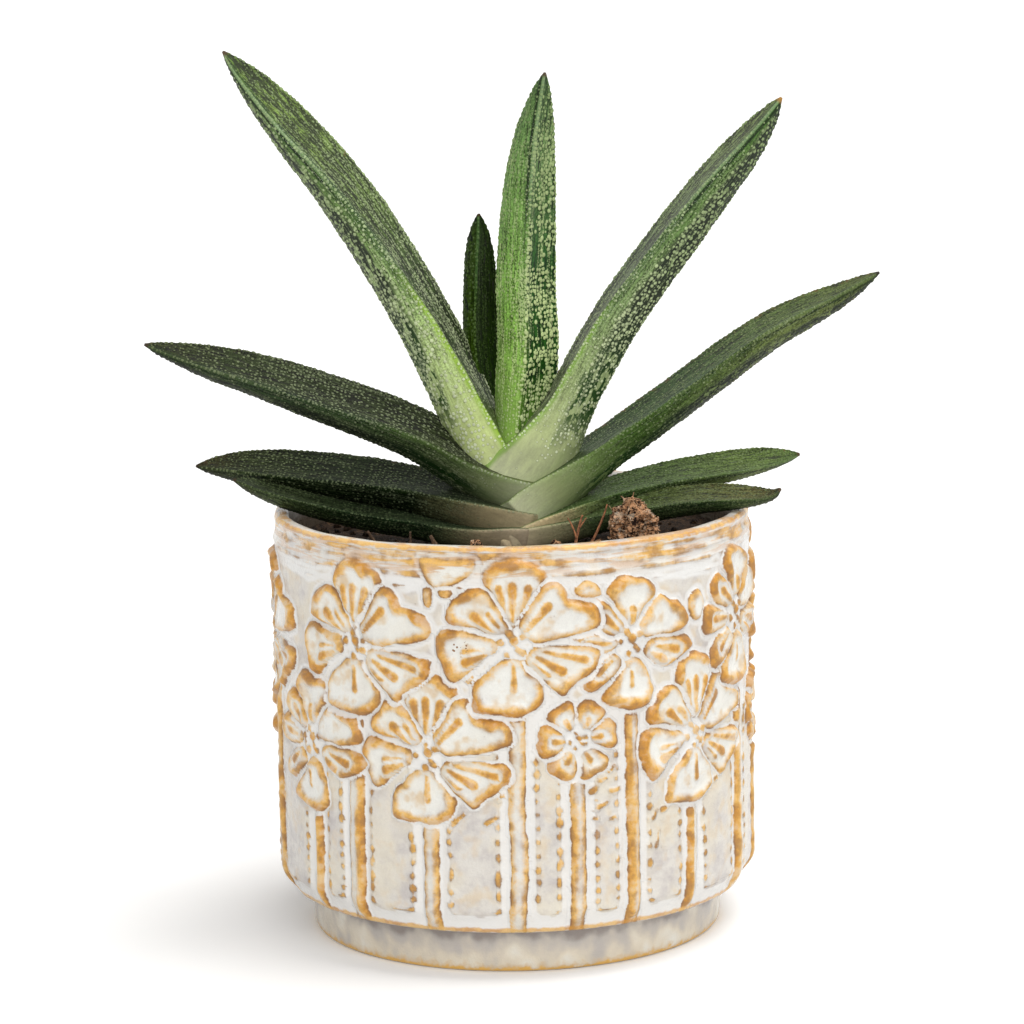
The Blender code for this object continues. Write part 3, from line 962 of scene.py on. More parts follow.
POPPY = (
    Petal(
        ((99, 5.5), (109, 12), (114, 17.5), (112, 21), (103, 23.5), (90, 24.5), (77, 23.7), (66, 22.3),
         (58, 19.6), (60, 17.2), (70, 12), (79, 5.5)),
        ((103, 9.5, 16.5, 1.9), (90, 7, 16.5, 2.4), (74, 9.5, 16.5, 2.3)),
    ),
    Petal(
        ((111, 5), (114, 11), (118, 16.8), (124, 19), (134, 20.4), (147, 20.8), (157, 20.2), (161, 18.4),
         (156, 12), (148, 5.5)),
        ((143, 6.5, 13.5, 2.6), (128, 6.5, 11, 1.6)),
    ),
    Petal(
        ((172, 5), (168, 11), (167.5, 18), (173, 21.2), (185, 22), (198, 21.2), (207, 21.2), (213, 19.6),
         (208, 12), (201, 5.5)),
        ((190, 8.5, 13.8, 2.3), (200.5, 8.5, 14.5, 2.4)),
    ),
    Petal(
        ((240, 5), (229, 10.5), (226, 15), (232, 18.6), (238, 21.8), (248, 20.8), (258, 20), (272, 20.2),
         (285, 19.4), (296, 18), (303, 14.5), (303, 10), (298, 5.5)),
        ((270, 6, 13, 1.9),),
    ),
    Petal(
        ((311, 6), (310, 12), (311, 18), (314, 20.6), (324, 20.6), (334, 22.6), (344, 24.8), (352, 24.8),
         (355, 21), (354, 12), (352, 6.5)),
        ((319, 7.5, 13, 1.8), (330, 7.5, 16, 2.6), (346, 9, 21, 2.0)),
    ),
    Petal(
        ((66, 5), (63, 12), (61, 19), (54, 21.2), (46, 21.2), (38, 20), (31, 22.3), (24, 25.4), (16, 25.8),
         (9, 24), (6.5, 14), (8, 6)),
        ((47, 5.5, 14.5, 2.4),),
    ),
)

ANEMONE = (
    Petal(
        ((99, 5), (112, 12), (116, 16), (108, 18.4), (95, 19), (83, 17.8), (72, 18), (62, 17), (57, 14.8),
         (66, 11), (78, 5)),
        ((87, 5.5, 9.5, 2.0),),
    ),
    Petal(((55, 5), (53, 11), (49, 15.6), (40, 16.8), (29, 19.4), (17, 20.8), (7, 20.4), (4, 13), (10, 5.5))),
    Petal(
        ((352, 6), (357, 13), (358, 20), (351, 22.8), (343, 20), (333, 16.4), (324, 13), (322, 6.5)),
        ((346, 9, 16, 2.4), (331, 8, 12.5, 2.4)),
    ),
    Petal(
        ((262, 5), (251, 9.5), (240, 15.5), (241, 18.6), (254, 18.6), (270, 19), (284, 19), (294, 17.6),
         (299, 13.5), (301, 8.5), (290, 5)),
        ((270, 8.5, 12.5, 1.2),),
    ),
    Petal(
        ((243, 7), (233, 12.5), (226, 17.5), (216, 18), (207, 15.5), (202, 9), (212, 6)),
        ((216, 8, 13, 2.0),),
    ),
    Petal(
        ((190, 5), (194, 11), (190, 16.4), (178, 17.6), (165, 16.8), (160, 12), (164, 5.5)),
        ((177, 7, 13, 2.2),),
    ),
    Petal(
        ((118, 5), (121, 11), (127, 15.6), (137, 17), (148, 16.2), (155, 12), (150, 5.5)),
        ((137, 6, 11.5, 2.2),),
    ),
)


def ring_of_petals(bearings: tuple, spreads: tuple, reach: float) -> tuple[Petal, ...]:
    """Petals of one plain shape, for a small blossom.

    Args:
        bearings: The petals' middles, in degrees.
        spreads: Their widths, in degrees.
        reach: How far they reach, in mm.

    Returns:
        The petals.
    """
    corners = (
        (0.3, 0.36), (0.42, 0.66), (0.4, 0.92), (0.16, 1.02), (-0.06, 0.97), (-0.3, 1.0), (-0.43, 0.86),
        (-0.42, 0.62), (-0.3, 0.36),
    )
    made = []
    for bearing, spread in zip(bearings, spreads):
        edge = tuple((bearing + spread * turn, reach * share) for turn, share in corners)
        made.append(Petal(edge, ((bearing, reach * 0.36, reach * 0.58, 1.7),)))
    return tuple(made)


DAISY = ring_of_petals((122, 62, 8, 300, 240, 178), (62, 56, 52, 66, 58, 62), 12.2)


class Kind(Enum):
    """The three flowers on the pot."""

    POPPY = POPPY
    ANEMONE = ANEMONE
    DAISY = DAISY


@dataclass(frozen=True)
class Blossom:
    """A blossom on its stem.

    Its bearing is in degrees from the front. Its height, and its stem's offset, width and bands, are in mm.
    """

    kind: Kind
    bearing: float
    height: float
    size: float
    stem: float
    width: float
    bands: Pair


BLOSSOMS = tuple(
    Blossom(*row)
    for row in (
        (Kind.POPPY, -20.5, 65, 0.97, 0.7, 4.8, (1.1, 1.6)),
        (Kind.POPPY, 47, 66, 0.97, -1.6, 4.6, (2.6, 0.2)),
        (Kind.ANEMONE, -56, 64, 1.06, 2.0, 4.4, (0.1, 2.4)),
        (Kind.POPPY, -39.5, 95, 1.0, -0.9, 6.0, (0.7, 2.7)),
        (Kind.ANEMONE, 66, 97, 1.08, 1.2, 4.6, (2.3, 1.9)),
        (Kind.ANEMONE, 28, 96, 1.0, 0.2, 4.3, (2.4, 1.5)),
        (Kind.POPPY, 0, 97.5, 1.0, 0.5, 5.0, (1.3, 1.3)),
        (Kind.DAISY, 14.6, 69.2, 0.95, -0.3, 4.6, (1.9, 1.5)),
        (Kind.POPPY, -84, 91, 1.0, 8.0, 5.0, (1.2, 2.0)),
        (Kind.DAISY, 84, 66, 0.95, 0.4, 4.4, (2.2, 1.0)),
        (Kind.POPPY, 122, 65, 0.97, 0.7, 4.8, (1.1, 1.6)),
        (Kind.POPPY, 101, 95, 1.0, -0.9, 5.6, (0.7, 2.7)),
        (Kind.ANEMONE, 157, 64, 1.05, 1.6, 4.2, (0.2, 2.2)),
        (Kind.ANEMONE, 139, 96, 1.04, 0.2, 4.3, (2.4, 1.5)),
        (Kind.POPPY, 178, 97, 1.0, 0.5, 5.0, (1.3, 1.3)),
        (Kind.POPPY, 199, 66, 0.97, 0.7, 4.8, (1.1, 1.6)),
        (Kind.DAISY, 220, 68, 0.95, -0.3, 4.6, (1.9, 1.5)),
        (Kind.POPPY, 236, 95, 1.0, 0.6, 5.4, (0.7, 2.7)),
        (Kind.ANEMONE, 256, 64, 1.0, 0.6, 4.4, (2.0, 0.4)),
    )
)


@dataclass(frozen=True)
class Mark:
    """A small raised leaf or drop: bearing and turn in degrees, height, length and width in mm."""

    bearing: float
    height: float
    length: float
    turn: float
    width: float


MARKS = tuple(
    Mark(*row)
    for row in (
        (-8.6, 51.6, 4.6, 38, 1.7), (-4.4, 54.0, 4.4, 8, 1.5), (-13.2, 47.4, 4.6, 42, 1.7),
        (-5.6, 47.2, 3.6, 30, 1.7), (18.4, 55.0, 2.6, 40, 2.0), (20.6, 57.6, 2.2, 25, 1.5),
        (23.6, 54.2, 2.8, 8, 1.6), (20.4, 50.2, 3.0, 20, 1.6), (22.6, 60.6, 2.0, 60, 1.5),
        (18.6, 46.6, 1.2, 10, 1.2), (22.8, 46.2, 1.4, 30, 1.3), (34.0, 45.2, 2.4, 60, 1.5),
        (37.0, 46.4, 2.0, 15, 2.0), (34.6, 38.0, 5.0, 76, 1.3), (55.6, 51.4, 5.2, 24, 1.5),
        (48.0, 45.8, 2.6, -20, 1.4), (33.0, 60.2, 2.6, 80, 1.4),
    )
)


@dataclass(frozen=True)
class Scrap:
    """A loose raised shape: its bearing in degrees, its height and its outline about that place in mm."""

    bearing: float
    height: float
    edge: tuple[Pair, ...]


SCRAPS = (
    Scrap(
        -15.0, 117.2,
        ((-8.2, 4.6), (0, 4.2), (8.0, 4.4), (7.6, 1.0), (4.6, -1.6), (0.2, -3.6), (-3.4, -4.8), (-6.2, -2.0)),
    ),
    Scrap(-19.8, 110.4, ((-1.2, 2.6), (1.2, 2.4), (1.5, -0.4), (0.8, -2.8), (-0.9, -2.6), (-1.4, 0))),
    Scrap(-15.4, 111.6, ((-2.0, 0.9), (1.6, 1.1), (1.9, -0.3), (0.2, -1.2), (-1.8, -0.8))),
    Scrap(17.5, 112.0, ((-4.0, 0.4), (-0.5, 2.8), (2.6, 1.4), (4.2, -1.6), (1.0, -2.2), (-2.2, -2.0))),
    Scrap(48.0, 103.5, ((-3.0, 2.6), (1.2, 4.4), (3.6, 1.0), (2.8, -3.4), (-0.6, -4.6), (-3.2, -1.6))),
    Scrap(-11.2, 90.0, ((-1.4, 4.0), (1.2, 3.0), (2.0, -0.6), (3.6, -3.6), (1.2, -4.2), (-1.6, -0.8))),
)
# Each smear of amber below the lip: bearing, height, half its width, half its height, strength
SMEARS = (
    (-3.0, 121.8, 13.0, 2.2, 0.55), (-24.0, 122.6, 8.0, 1.1, 0.4), (38.0, 122.4, 9.0, 1.0, 0.4),
    (3.5, 116.8, 6.0, 1.8, 0.4), (-66.0, 121.0, 12.0, 1.4, 0.4), (66.0, 121.0, 12.0, 1.2, 0.4),
    (112.0, 121.5, 14.0, 1.8, 0.5), (168.0, 121.5, 14.0, 2.0, 0.5), (222.0, 121.8, 14.0, 1.4, 0.4),
)


@dataclass(frozen=True)
class Profile:
    """A raised shape's height at its edge and inside it, the groove round it, and how like a petal it is."""

    rise: float
    floor: float
    groove: float
    skin: float = 1.0


@dataclass
class Relief:
    """The raised flowers on the pot's wall, in mm of height, and the fields that the glaze follows."""

    radius: float = 71.0
    stem_foot: float = 13.0
    hollow: float = -0.35
    panel_low: float = 18.5
    panel_high: float = 70.0
    neck_rings: tuple[Triple, ...] = (
        (122.4, 0.35, 0.2), (119.8, 0.45, 0.15), (116.6, 0.45, 0.0), (113.0, 0.3, -0.4),
    )

    PETAL = Profile(1.2, 0.4, 1.15)
    SCRAP = Profile(1.0, 0.45, 1.2)
    STEM = Profile(1.05, 0.6, 1.3, 0.6)
    VEIN_RISE = 0.95
    VEIN_START = 1.1
    MARK_RISE = 0.8
    SCRAP_BAND = 1.5
    BLOSSOM_REACH = 29
    SCRAP_REACH = 13
    STEM_REACH = 8
    STEM_GAP = 6
    NOISE_STEPS = 64
    # How far off a shape counts where there is none
    FAR = 9.0

    def press(self, bearing: Array, level: Array) -> tuple[Array, Array]:
        """Work out the relief at places on the wall.

        Args:
            bearing: The places' bearings from the front, in degrees.
            level: Their heights in mm.

        Returns:
            The relief's heights, and for each place its depth in mm inside a raised shape and inside that
            shape's amber band, and its petal share.
        """
        self.bearing, self.level = bearing, level
        self.rise = np.zeros(len(bearing))
        self.edge = np.full(len(bearing), -self.FAR)
        self.amber = np.full(len(bearing), -self.FAR)
        self.petal = np.zeros(len(bearing))
        self.wide, self.fine = SmoothNoise(3), SmoothNoise(5)
        turn, girth = bearing / 360 * self.NOISE_STEPS, TURN * self.radius
        self.wobble = self.wide.at(turn * 2, level / girth * 128)
        self.ripple = self.fine.at(turn * 4, level / girth * 256)
        self.press_panels()
        self.press_neck()
        for blossom in BLOSSOMS:
            self.press_stem(blossom)
        for mark in MARKS:
            self.press_mark(mark)
        for scrap in SCRAPS:
            self.press_scrap(scrap)
        for blossom in BLOSSOMS:
            self.press_blossom(blossom)
        return self.rise, np.stack([self.edge, self.amber, self.petal], 1)

    def across(self, bearing: float) -> Array:
        """Every place's distance round the wall from a bearing, in mm, the short way."""
        return np.radians((self.bearing - bearing + 180) % 360 - 180) * self.radius

    def lay(
        self, where: Array, depth: Array, band: Array, profile: Profile, ripple: Array | float = 0.0,
        fade: Array | float = 0.0
    ) -> None:
        """Lay a raised shape over what is there.

        Args:
            where: Which places may change.
            depth: How far inside the shape each lies, in mm.
            band: The width of its raised edge.
            profile: Its heights.
            ripple: How much higher the edge stands.
            fade: How much less amber shows.
        """
        floor, clear = profile.floor, profile.groove
        inside = depth > 0
        band = np.maximum(band, 0.3)
        crown = np.exp(-(((depth - band * 0.5) / (band * 0.62)) ** 2))
        dish = floor + (profile.rise + ripple - floor) * crown
        shaped = self.hollow + (dish - self.hollow) * smooth_step(-0.2, 1.2, depth)
        outside = np.clip(-depth / clear, 0, 1)
        fall = self.hollow + (self.rise[where] - self.hollow) * smooth_step(0.35, 1.0, outside)
        self.rise[where] = np.where(inside, shaped, np.minimum(self.rise[where], fall))
        gap = np.abs(depth + clear * 0.5) - clear * 0.5
        self.edge[where] = np.where(inside, depth, np.maximum(np.minimum(self.edge[where], gap), depth))
        own = depth > -clear * 0.5
        self.amber[where] = np.where(own, (band - depth) * 0.55 - fade, self.amber[where])
        within = profile.skin * smooth_step(0.0, 1.0, depth - band * 0.8)
        self.petal[where] = np.where(own, within, self.petal[where])

    def draw(
        self, where: Array, x: Array, y: Array, start: Array, end: Array, widths: Pair, rise: float
    ) -> None:
        """Draw a raised stroke, such as a vein, with a furrow on both sides.

        Args:
            where: Which places may change.
            x: Their distances round the wall.
            y: Their heights.
            start: The stroke's first end.
            end: Its second end.
            widths: Its width at each end.
            rise: Its height.
        """
        depth = depth_in_stroke(x, y, start, end, widths)
        body = smooth_step(-0.5, max(widths) * 0.45, depth)
        lift(self.rise, where, self.rise[where] * (1 - body) + rise * body)
        beside = (depth < 0) & (depth > -1.0)
        self.rise[where] -= np.where(beside, 0.25 * np.sin((depth + 1.0) * math.pi), 0)
        furrow = np.where(depth < 0, np.abs(depth + 0.55) * 1.7 - 0.94, self.FAR)
        lift(self.edge, where, depth)
        self.amber[where] = np.maximum(np.minimum(self.amber[where], furrow), depth * 1.7)

    def press_blossom(self, blossom: Blossom) -> None:
        """Press a blossom's petals, veins and middle.

        Args:
            blossom: The blossom.
        """
        x, y = self.across(blossom.bearing), self.level - blossom.height
        where = np.nonzero(np.hypot(x, y) < self.BLOSSOM_REACH * blossom.size)[0]
        x, y, wobble = x[where], y[where], self.wobble[where]
        reach = np.hypot(x, y) / blossom.size
        open_end = smooth_step(4.0, 6.0, reach)
        for petal in blossom.kind.value:
            edge = np.array(petal.edge, float)
            turn = np.radians(edge[:, 0])
            outline = smooth_loop(np.stack([np.cos(turn), np.sin(turn)], 1) * edge[:, 1:] * blossom.size)
            ruffle = 0.4 * open_end
            depth = depth_inside(outline, x + ruffle * self.ripple[where], y + ruffle * wobble) + ruffle
            band = 1.45 + 1.9 * smooth_step(0.6, 0.95, reach / edge[:, 1].max())
            band = band * (1 + 0.55 * wobble) + 0.35 * self.ripple[where]
            self.lay(where, depth, band, self.PETAL, 0.14 * wobble, 0.9 * (1 - open_end))
            for bearing, start, end, width in petal.veins:
                turn = math.radians(bearing)
                along = np.array([math.cos(turn), math.sin(turn)]) * blossom.size
                widths = (self.VEIN_START, width * 1.15)
                self.draw(where, x + wobble * 0.14, y, along * start, along * end, widths, self.VEIN_RISE)
        self.press_knobs(blossom, where, x, y)

    def press_knobs(self, blossom: Blossom, where: Array, x: Array, y: Array) -> None:
        """Press the small knobs in a blossom's middle.

        Args:
            blossom: The blossom.
            where: Which places may change.
            x: Their distances across from its middle.
            y: Their heights above it.
        """
        rng = np.random.default_rng(int(blossom.bearing % 360 * 7 + blossom.height))
        size = blossom.size * (0.72 if blossom.kind is Kind.DAISY else 1.0)
        spots = [(0.3 * size, 1.1 * size, 1.45 * size), (1.2 * size, -1.3 * size, 0.9 * size)]
        for index in range(5):
            turn = TURN * index / 5 + rng.uniform(-0.25, 0.25) + 0.6
            reach, radius = size * math.cos(turn), rng.uniform(0.85, 1.25) * size
            spots.append((3.5 * reach, 3.3 * size * math.sin(turn), radius))
        for middle, up, radius in spots:
            depth = radius - np.hypot(x - middle, y - up)
            knob = smooth_step(-0.5, radius * 0.8, depth)
            lift(self.rise, where, -0.3 + 1.4 * knob)
            lift(self.edge, where, depth)
            lift(self.amber, where, depth * 1.7)

    def press_mark(self, mark: Mark) -> None:
        """Press a small leaf or drop.

        Args:
            mark: The mark.
        """
        x, y = self.across(mark.bearing), self.level - mark.height
        where = np.nonzero(np.hypot(x, y) < mark.length + 4)[0]
        turn = math.radians(mark.turn)
        half = np.array([math.cos(turn), math.sin(turn)]) * mark.length / 2
        self.draw(where, x[where], y[where], -half, half, (mark.width, mark.width * 0.7), self.MARK_RISE)

    def press_scrap(self, scrap: Scrap) -> None:
        """Press a loose shape.

        Args:
            scrap: The shape.
        """
        x, y = self.across(scrap.bearing), self.level - scrap.height
        where = np.nonzero(np.hypot(x, y) < self.SCRAP_REACH)[0]
        depth = depth_inside(smooth_loop(np.array(scrap.edge, float)), x[where], y[where])
        self.lay(where, depth, self.SCRAP_BAND * (1 + 0.4 * self.wobble[where]), self.SCRAP)

    def press_stem(self, blossom: Blossom) -> None:
        """Press a flat stem with raised edges, from a blossom down to the wall's foot.

        Args:
            blossom: The blossom.
        """
        x = self.across(blossom.bearing) - blossom.stem
        below = (self.level < blossom.height - self.STEM_GAP) & (self.level > self.stem_foot)
        where = np.nonzero((np.abs(x) < self.STEM_REACH) & below)[0]
        sway = 0.5 * self.wide.at(self.level[where] / 17, blossom.bearing % 60)
        side = x[where] - sway
        depth = blossom.width / 2 - np.abs(side) + 0.25 * self.ripple[where]
        left, right = blossom.bands
        band = np.where(side < 0, left, right) * (1 + 0.3 * self.wobble[where])
        self.lay(where, depth, band, self.STEM)

    def press_panels(self) -> None:
        """Press the low panels between the stems, whose edges show as broken dashes."""
        stems = sorted((b.bearing + math.degrees(b.stem / self.radius), b.width) for b in BLOSSOMS)
        following = stems[1:] + [(stems[0][0] + 360, stems[0][1])]
        tall = (self.panel_high - self.panel_low) / 2
        for (left, left_width), (right, right_width) in zip(stems, following):
            middle = (left + right) / 2
            half = math.radians(right - left) / 2 * self.radius - (left_width + right_width) / 4 - 2.0
            if half < 2.0:
                continue
            x = self.across(middle)
            where = np.nonzero((np.abs(x) < half + 3) & (self.level < self.panel_high + 12))[0]
            y = self.level[where] - (self.panel_low + self.panel_high) / 2
            corner = min(3.0, half * 0.8)
            box_x, box_y = np.abs(x[where]) - (half - corner), np.abs(y) - (tall - corner)
            depth = corner - np.hypot(np.maximum(box_x, 0), np.maximum(box_y, 0))
            depth += 0.35 * self.wobble[where] - np.minimum(np.maximum(box_x, box_y), 0)
            lift(self.rise, where, 0.3 * smooth_step(-0.3, 0.8, depth))
            edge_side = middle % 50 + (x[where] > 0) * 7.3
            pace = 3.8 + 0.9 * self.wide.at(edge_side, 1.5)
            level = self.level[where]
            beat = np.cos(level * TURN / pace + 3 * self.wide.at(level / 9, edge_side))
            kept = self.fine.at(level / 4.4, edge_side + 3.1)
            dash = 0.45 + 0.95 * beat + 1.0 * kept - 1.7 * (depth - 1.2) ** 2 + 0.35 * self.wobble[where]
            dash -= 1.1 * smooth_step(0.0, 2.5, box_y - box_x)
            self.rise[where] += 0.35 * smooth_step(-0.4, 0.6, dash)
            self.add_spots(where, np.where(depth < 0.4, np.maximum(dash * 0.7, -1.0), dash * 0.7))
            self.petal[where] = np.where(depth > 0.4, -1.0, self.petal[where])

    def press_neck(self) -> None:
        """Press the soft rings below the lip, where the glaze breaks in lines."""
        turn = self.bearing / 360 * self.NOISE_STEPS
        sway = 0.8 * self.wide.at(turn * 0.5, 3.0)
        for ring, width, offset in self.neck_rings:
            broken = self.wide.at(turn, ring) + 0.5 * self.wobble
            depth = width - np.abs(self.level - ring - sway) + 0.8 * broken + offset
            self.rise += 0.3 * smooth_step(-0.6, 0.6, depth)
            self.add_spots(slice(None), depth * 0.9)
        for bearing, middle, half, tall, strength in SMEARS:
            apart = np.hypot(self.across(bearing) / half, (self.level - middle) / tall)
            smear = strength * (1 - apart**2) + 0.9 * self.wobble
            self.add_spots(slice(None), np.where(apart < 1.5, smear, -self.FAR))

    def add_spots(self, where: Any, depth: Array) -> None:
        """Let amber show in spots that aren't part of a raised shape."""
        lift(self.edge, where, np.minimum(depth, 0.6))
        lift(self.amber, where, np.minimum(depth, 0.6))


@dataclass
class Pot:
    """The stoneware pot: a drum with a stepped foot and a rounded lip. Sizes in mm."""

    node: str = "pot"
    around: int = 540
    cuts: tuple[int, ...] = (11, 11)
    radius: float = 71.0
    lip_radius: float = 70.0
    neck_top: float = 118.0
    lip_low: float = 123.4
    skirt_radius: float = 67.0
    foot_top: float = 13.5
    skirt_height: float = 8.0
    press_scale: float = 1.75
    press_base: float = 1.0
    wall_from: float = 66.2
    outside_from: float = 58.0
    plain_above_foot: float = 4.0
    plain_below_lip: float = 2.4
    unevenness: float = 0.22
    lip_wave: float = 0.2
    glaze: Glaze = Glaze()
    relief: Relief = field(default_factory=Relief)

    # How far outside and inside a raised shape a depth is still stored
    OUTSIDE = 2.5
    DEEPEST = 3.0
    LIP_AND_CAVITY = (
        (70.0, 123.4), (69.95, 123.75), (69.78, 124.2), (69.4, 124.6), (68.95, 124.86), (68.4, 125.0),
        (67.8, 125.02), (67.2, 125.0), (66.55, 124.8), (66.05, 124.4), (65.72, 123.9), (65.6, 123.3),
        (65.45, 121.0), (65.25, 118.5), (65.0, 116.0), (64.5, 112.0), (64.1, 90.0), (63.3, 60.0),
        (62.6, 30.0), (62.5, 23.0), (61.4, 17.6), (58.4, 13.1), (53.9, 10.1), (48.5, 9.0), (24.0, 9.0),
        (8.0, 9.0),
    )
    FOOT = (
        (67.0, 13.5), (65.0, 13.5), (62.6, 13.45), (61.9, 13.0), (61.7, 12.0), (61.4, 9.0), (61.1, 6.0),
        (60.8, 3.0), (60.6, 1.4), (60.45, 0.75), (60.1, 0.3), (59.6, 0.06), (58.9, 0.0), (54.0, 0.0),
        (30.0, 0.0),
    )

    def build(self) -> None:
        """Model the pot, press its relief and glaze it."""
        pot = add_tube("pot_glazed", self.around, self.cuts, self.radius, self.foot_top, self.lip_low, "NGON")
        edit(pot, "FACE")
        self.draw_end(pot, 1, self.LIP_AND_CAVITY)
        self.draw_end(pot, -1, self.FOOT)
        end_edit()
        self.press_wall(pot)
        finish_piece(pot, self.glaze.material(), "glaze", self.node)

    def draw_end(self, pot: Object, way: int, rings: tuple[Pair, ...]) -> None:
        """Draw one end of the drum through rings, and close it with a fan.

        Args:
            pot: The pot, in edit mode.
            way: 1 for the upper end and -1 for the lower.
            rings: Radii and heights, from the drum's own edge on.
        """
        last_radius, last_height = self.radius, rings[0][1]
        past = (last_height - way) * MM * way
        bpy.ops.mesh.select_all(action="DESELECT")
        pick(
            pot, "faces",
            lambda face: face.normal.z * way > 0.9 and face.calc_center_median().z * way > past,
        )
        for index, (radius, height) in enumerate(rings):
            if index:
                shift = (0, 0, (height - last_height) * MM)
                bpy.ops.mesh.extrude_region_move(TRANSFORM_OT_translate={"value": shift})
            share = radius / last_radius
            bpy.ops.transform.resize(value=(share, share, 1), center_override=(0, 0, height * MM))
            last_radius, last_height = radius, height
        bpy.ops.mesh.poke()

    def wall_radius(self, level: Array) -> Array:
        """The plain wall's radius.

        Args:
            level: Heights in mm.

        Returns:
            The radius at each.
        """
        low = np.clip((level - self.foot_top) / self.skirt_height, 0, 1)
        skirt = self.skirt_radius + (self.radius - self.skirt_radius) * np.sin(low * math.pi / 2)
        neck = smooth_step(self.neck_top, self.lip_low, level) * (self.radius - self.lip_radius)
        return skirt - neck

    def soften(self, grid: Array) -> Array:
        """A grid of values, one row for each height of the wall, softened by one step."""
        padded = blur(np.vstack([grid[:1], grid, grid[-1:]]), 1)
        return (padded[:-2] + 2 * padded[1:-1] + padded[2:]) / 4

    def press_wall(self, pot: Object) -> None:
        """Press the relief into the wall and store what the glaze needs.

        Args:
            pot: The pot.
        """
        places = places_of(pot.data.vertices)
        level = places[:, 2]
        radius = np.hypot(places[:, 0], places[:, 1])
        bearing = np.degrees(np.arctan2(places[:, 0], -places[:, 1])) % 360
        wall = (level > self.foot_top - 0.01) & (level < self.lip_low + 0.01) & (radius > self.wall_from)
        levels, row = np.unique(np.round(level[wall], 3), return_inverse=True)
        column = np.round(bearing[wall] / 360 * self.around).astype(int) % self.around
        bearings = np.arange(self.around) / self.around * 360
        grid_level, grid_bearing = np.meshgrid(levels, bearings, indexing="ij")
        rise, fields = self.relief.press(grid_bearing.ravel(), grid_level.ravel())
        rise = self.soften(rise.reshape(grid_level.shape))
        fields = np.clip(fields, -self.OUTSIDE, self.DEEPEST).reshape(*grid_level.shape, 3)
        fields[..., 2] = self.soften(fields[..., 2])
        rise, fields = rise[row.ravel(), column], fields[row.ravel(), column]
        held = smooth_step(self.foot_top, self.foot_top + self.plain_above_foot, level[wall])
        held = held * smooth_step(self.lip_low, self.lip_low - self.plain_below_lip, level[wall])
        target = self.wall_radius(level[wall]) + (self.press_scale * rise - self.press_base) * held
        places[wall, :2] *= (target / radius[wall])[:, None]
        turn = bearing / 360 * Relief.NOISE_STEPS
        uneven = SmoothNoise(9).at(turn, level / 9) * self.unevenness * smooth_step(0.2, 2.0, level)
        outer = radius > self.outside_from
        places[outer, :2] *= (1 + uneven[outer] / self.lip_radius)[:, None]
        places[:, 2] += smooth_step(122.5, 124.5, level) * SmoothNoise(11).at(turn * 0.5, 0.5) * self.lip_wave
        move_corners(pot, places)
        glaze = np.tile([-self.OUTSIDE, -self.OUTSIDE, 0.0], (len(places), 1))
        glaze[wall] = fields
        store(pot, "glaze", glaze)


# The soil


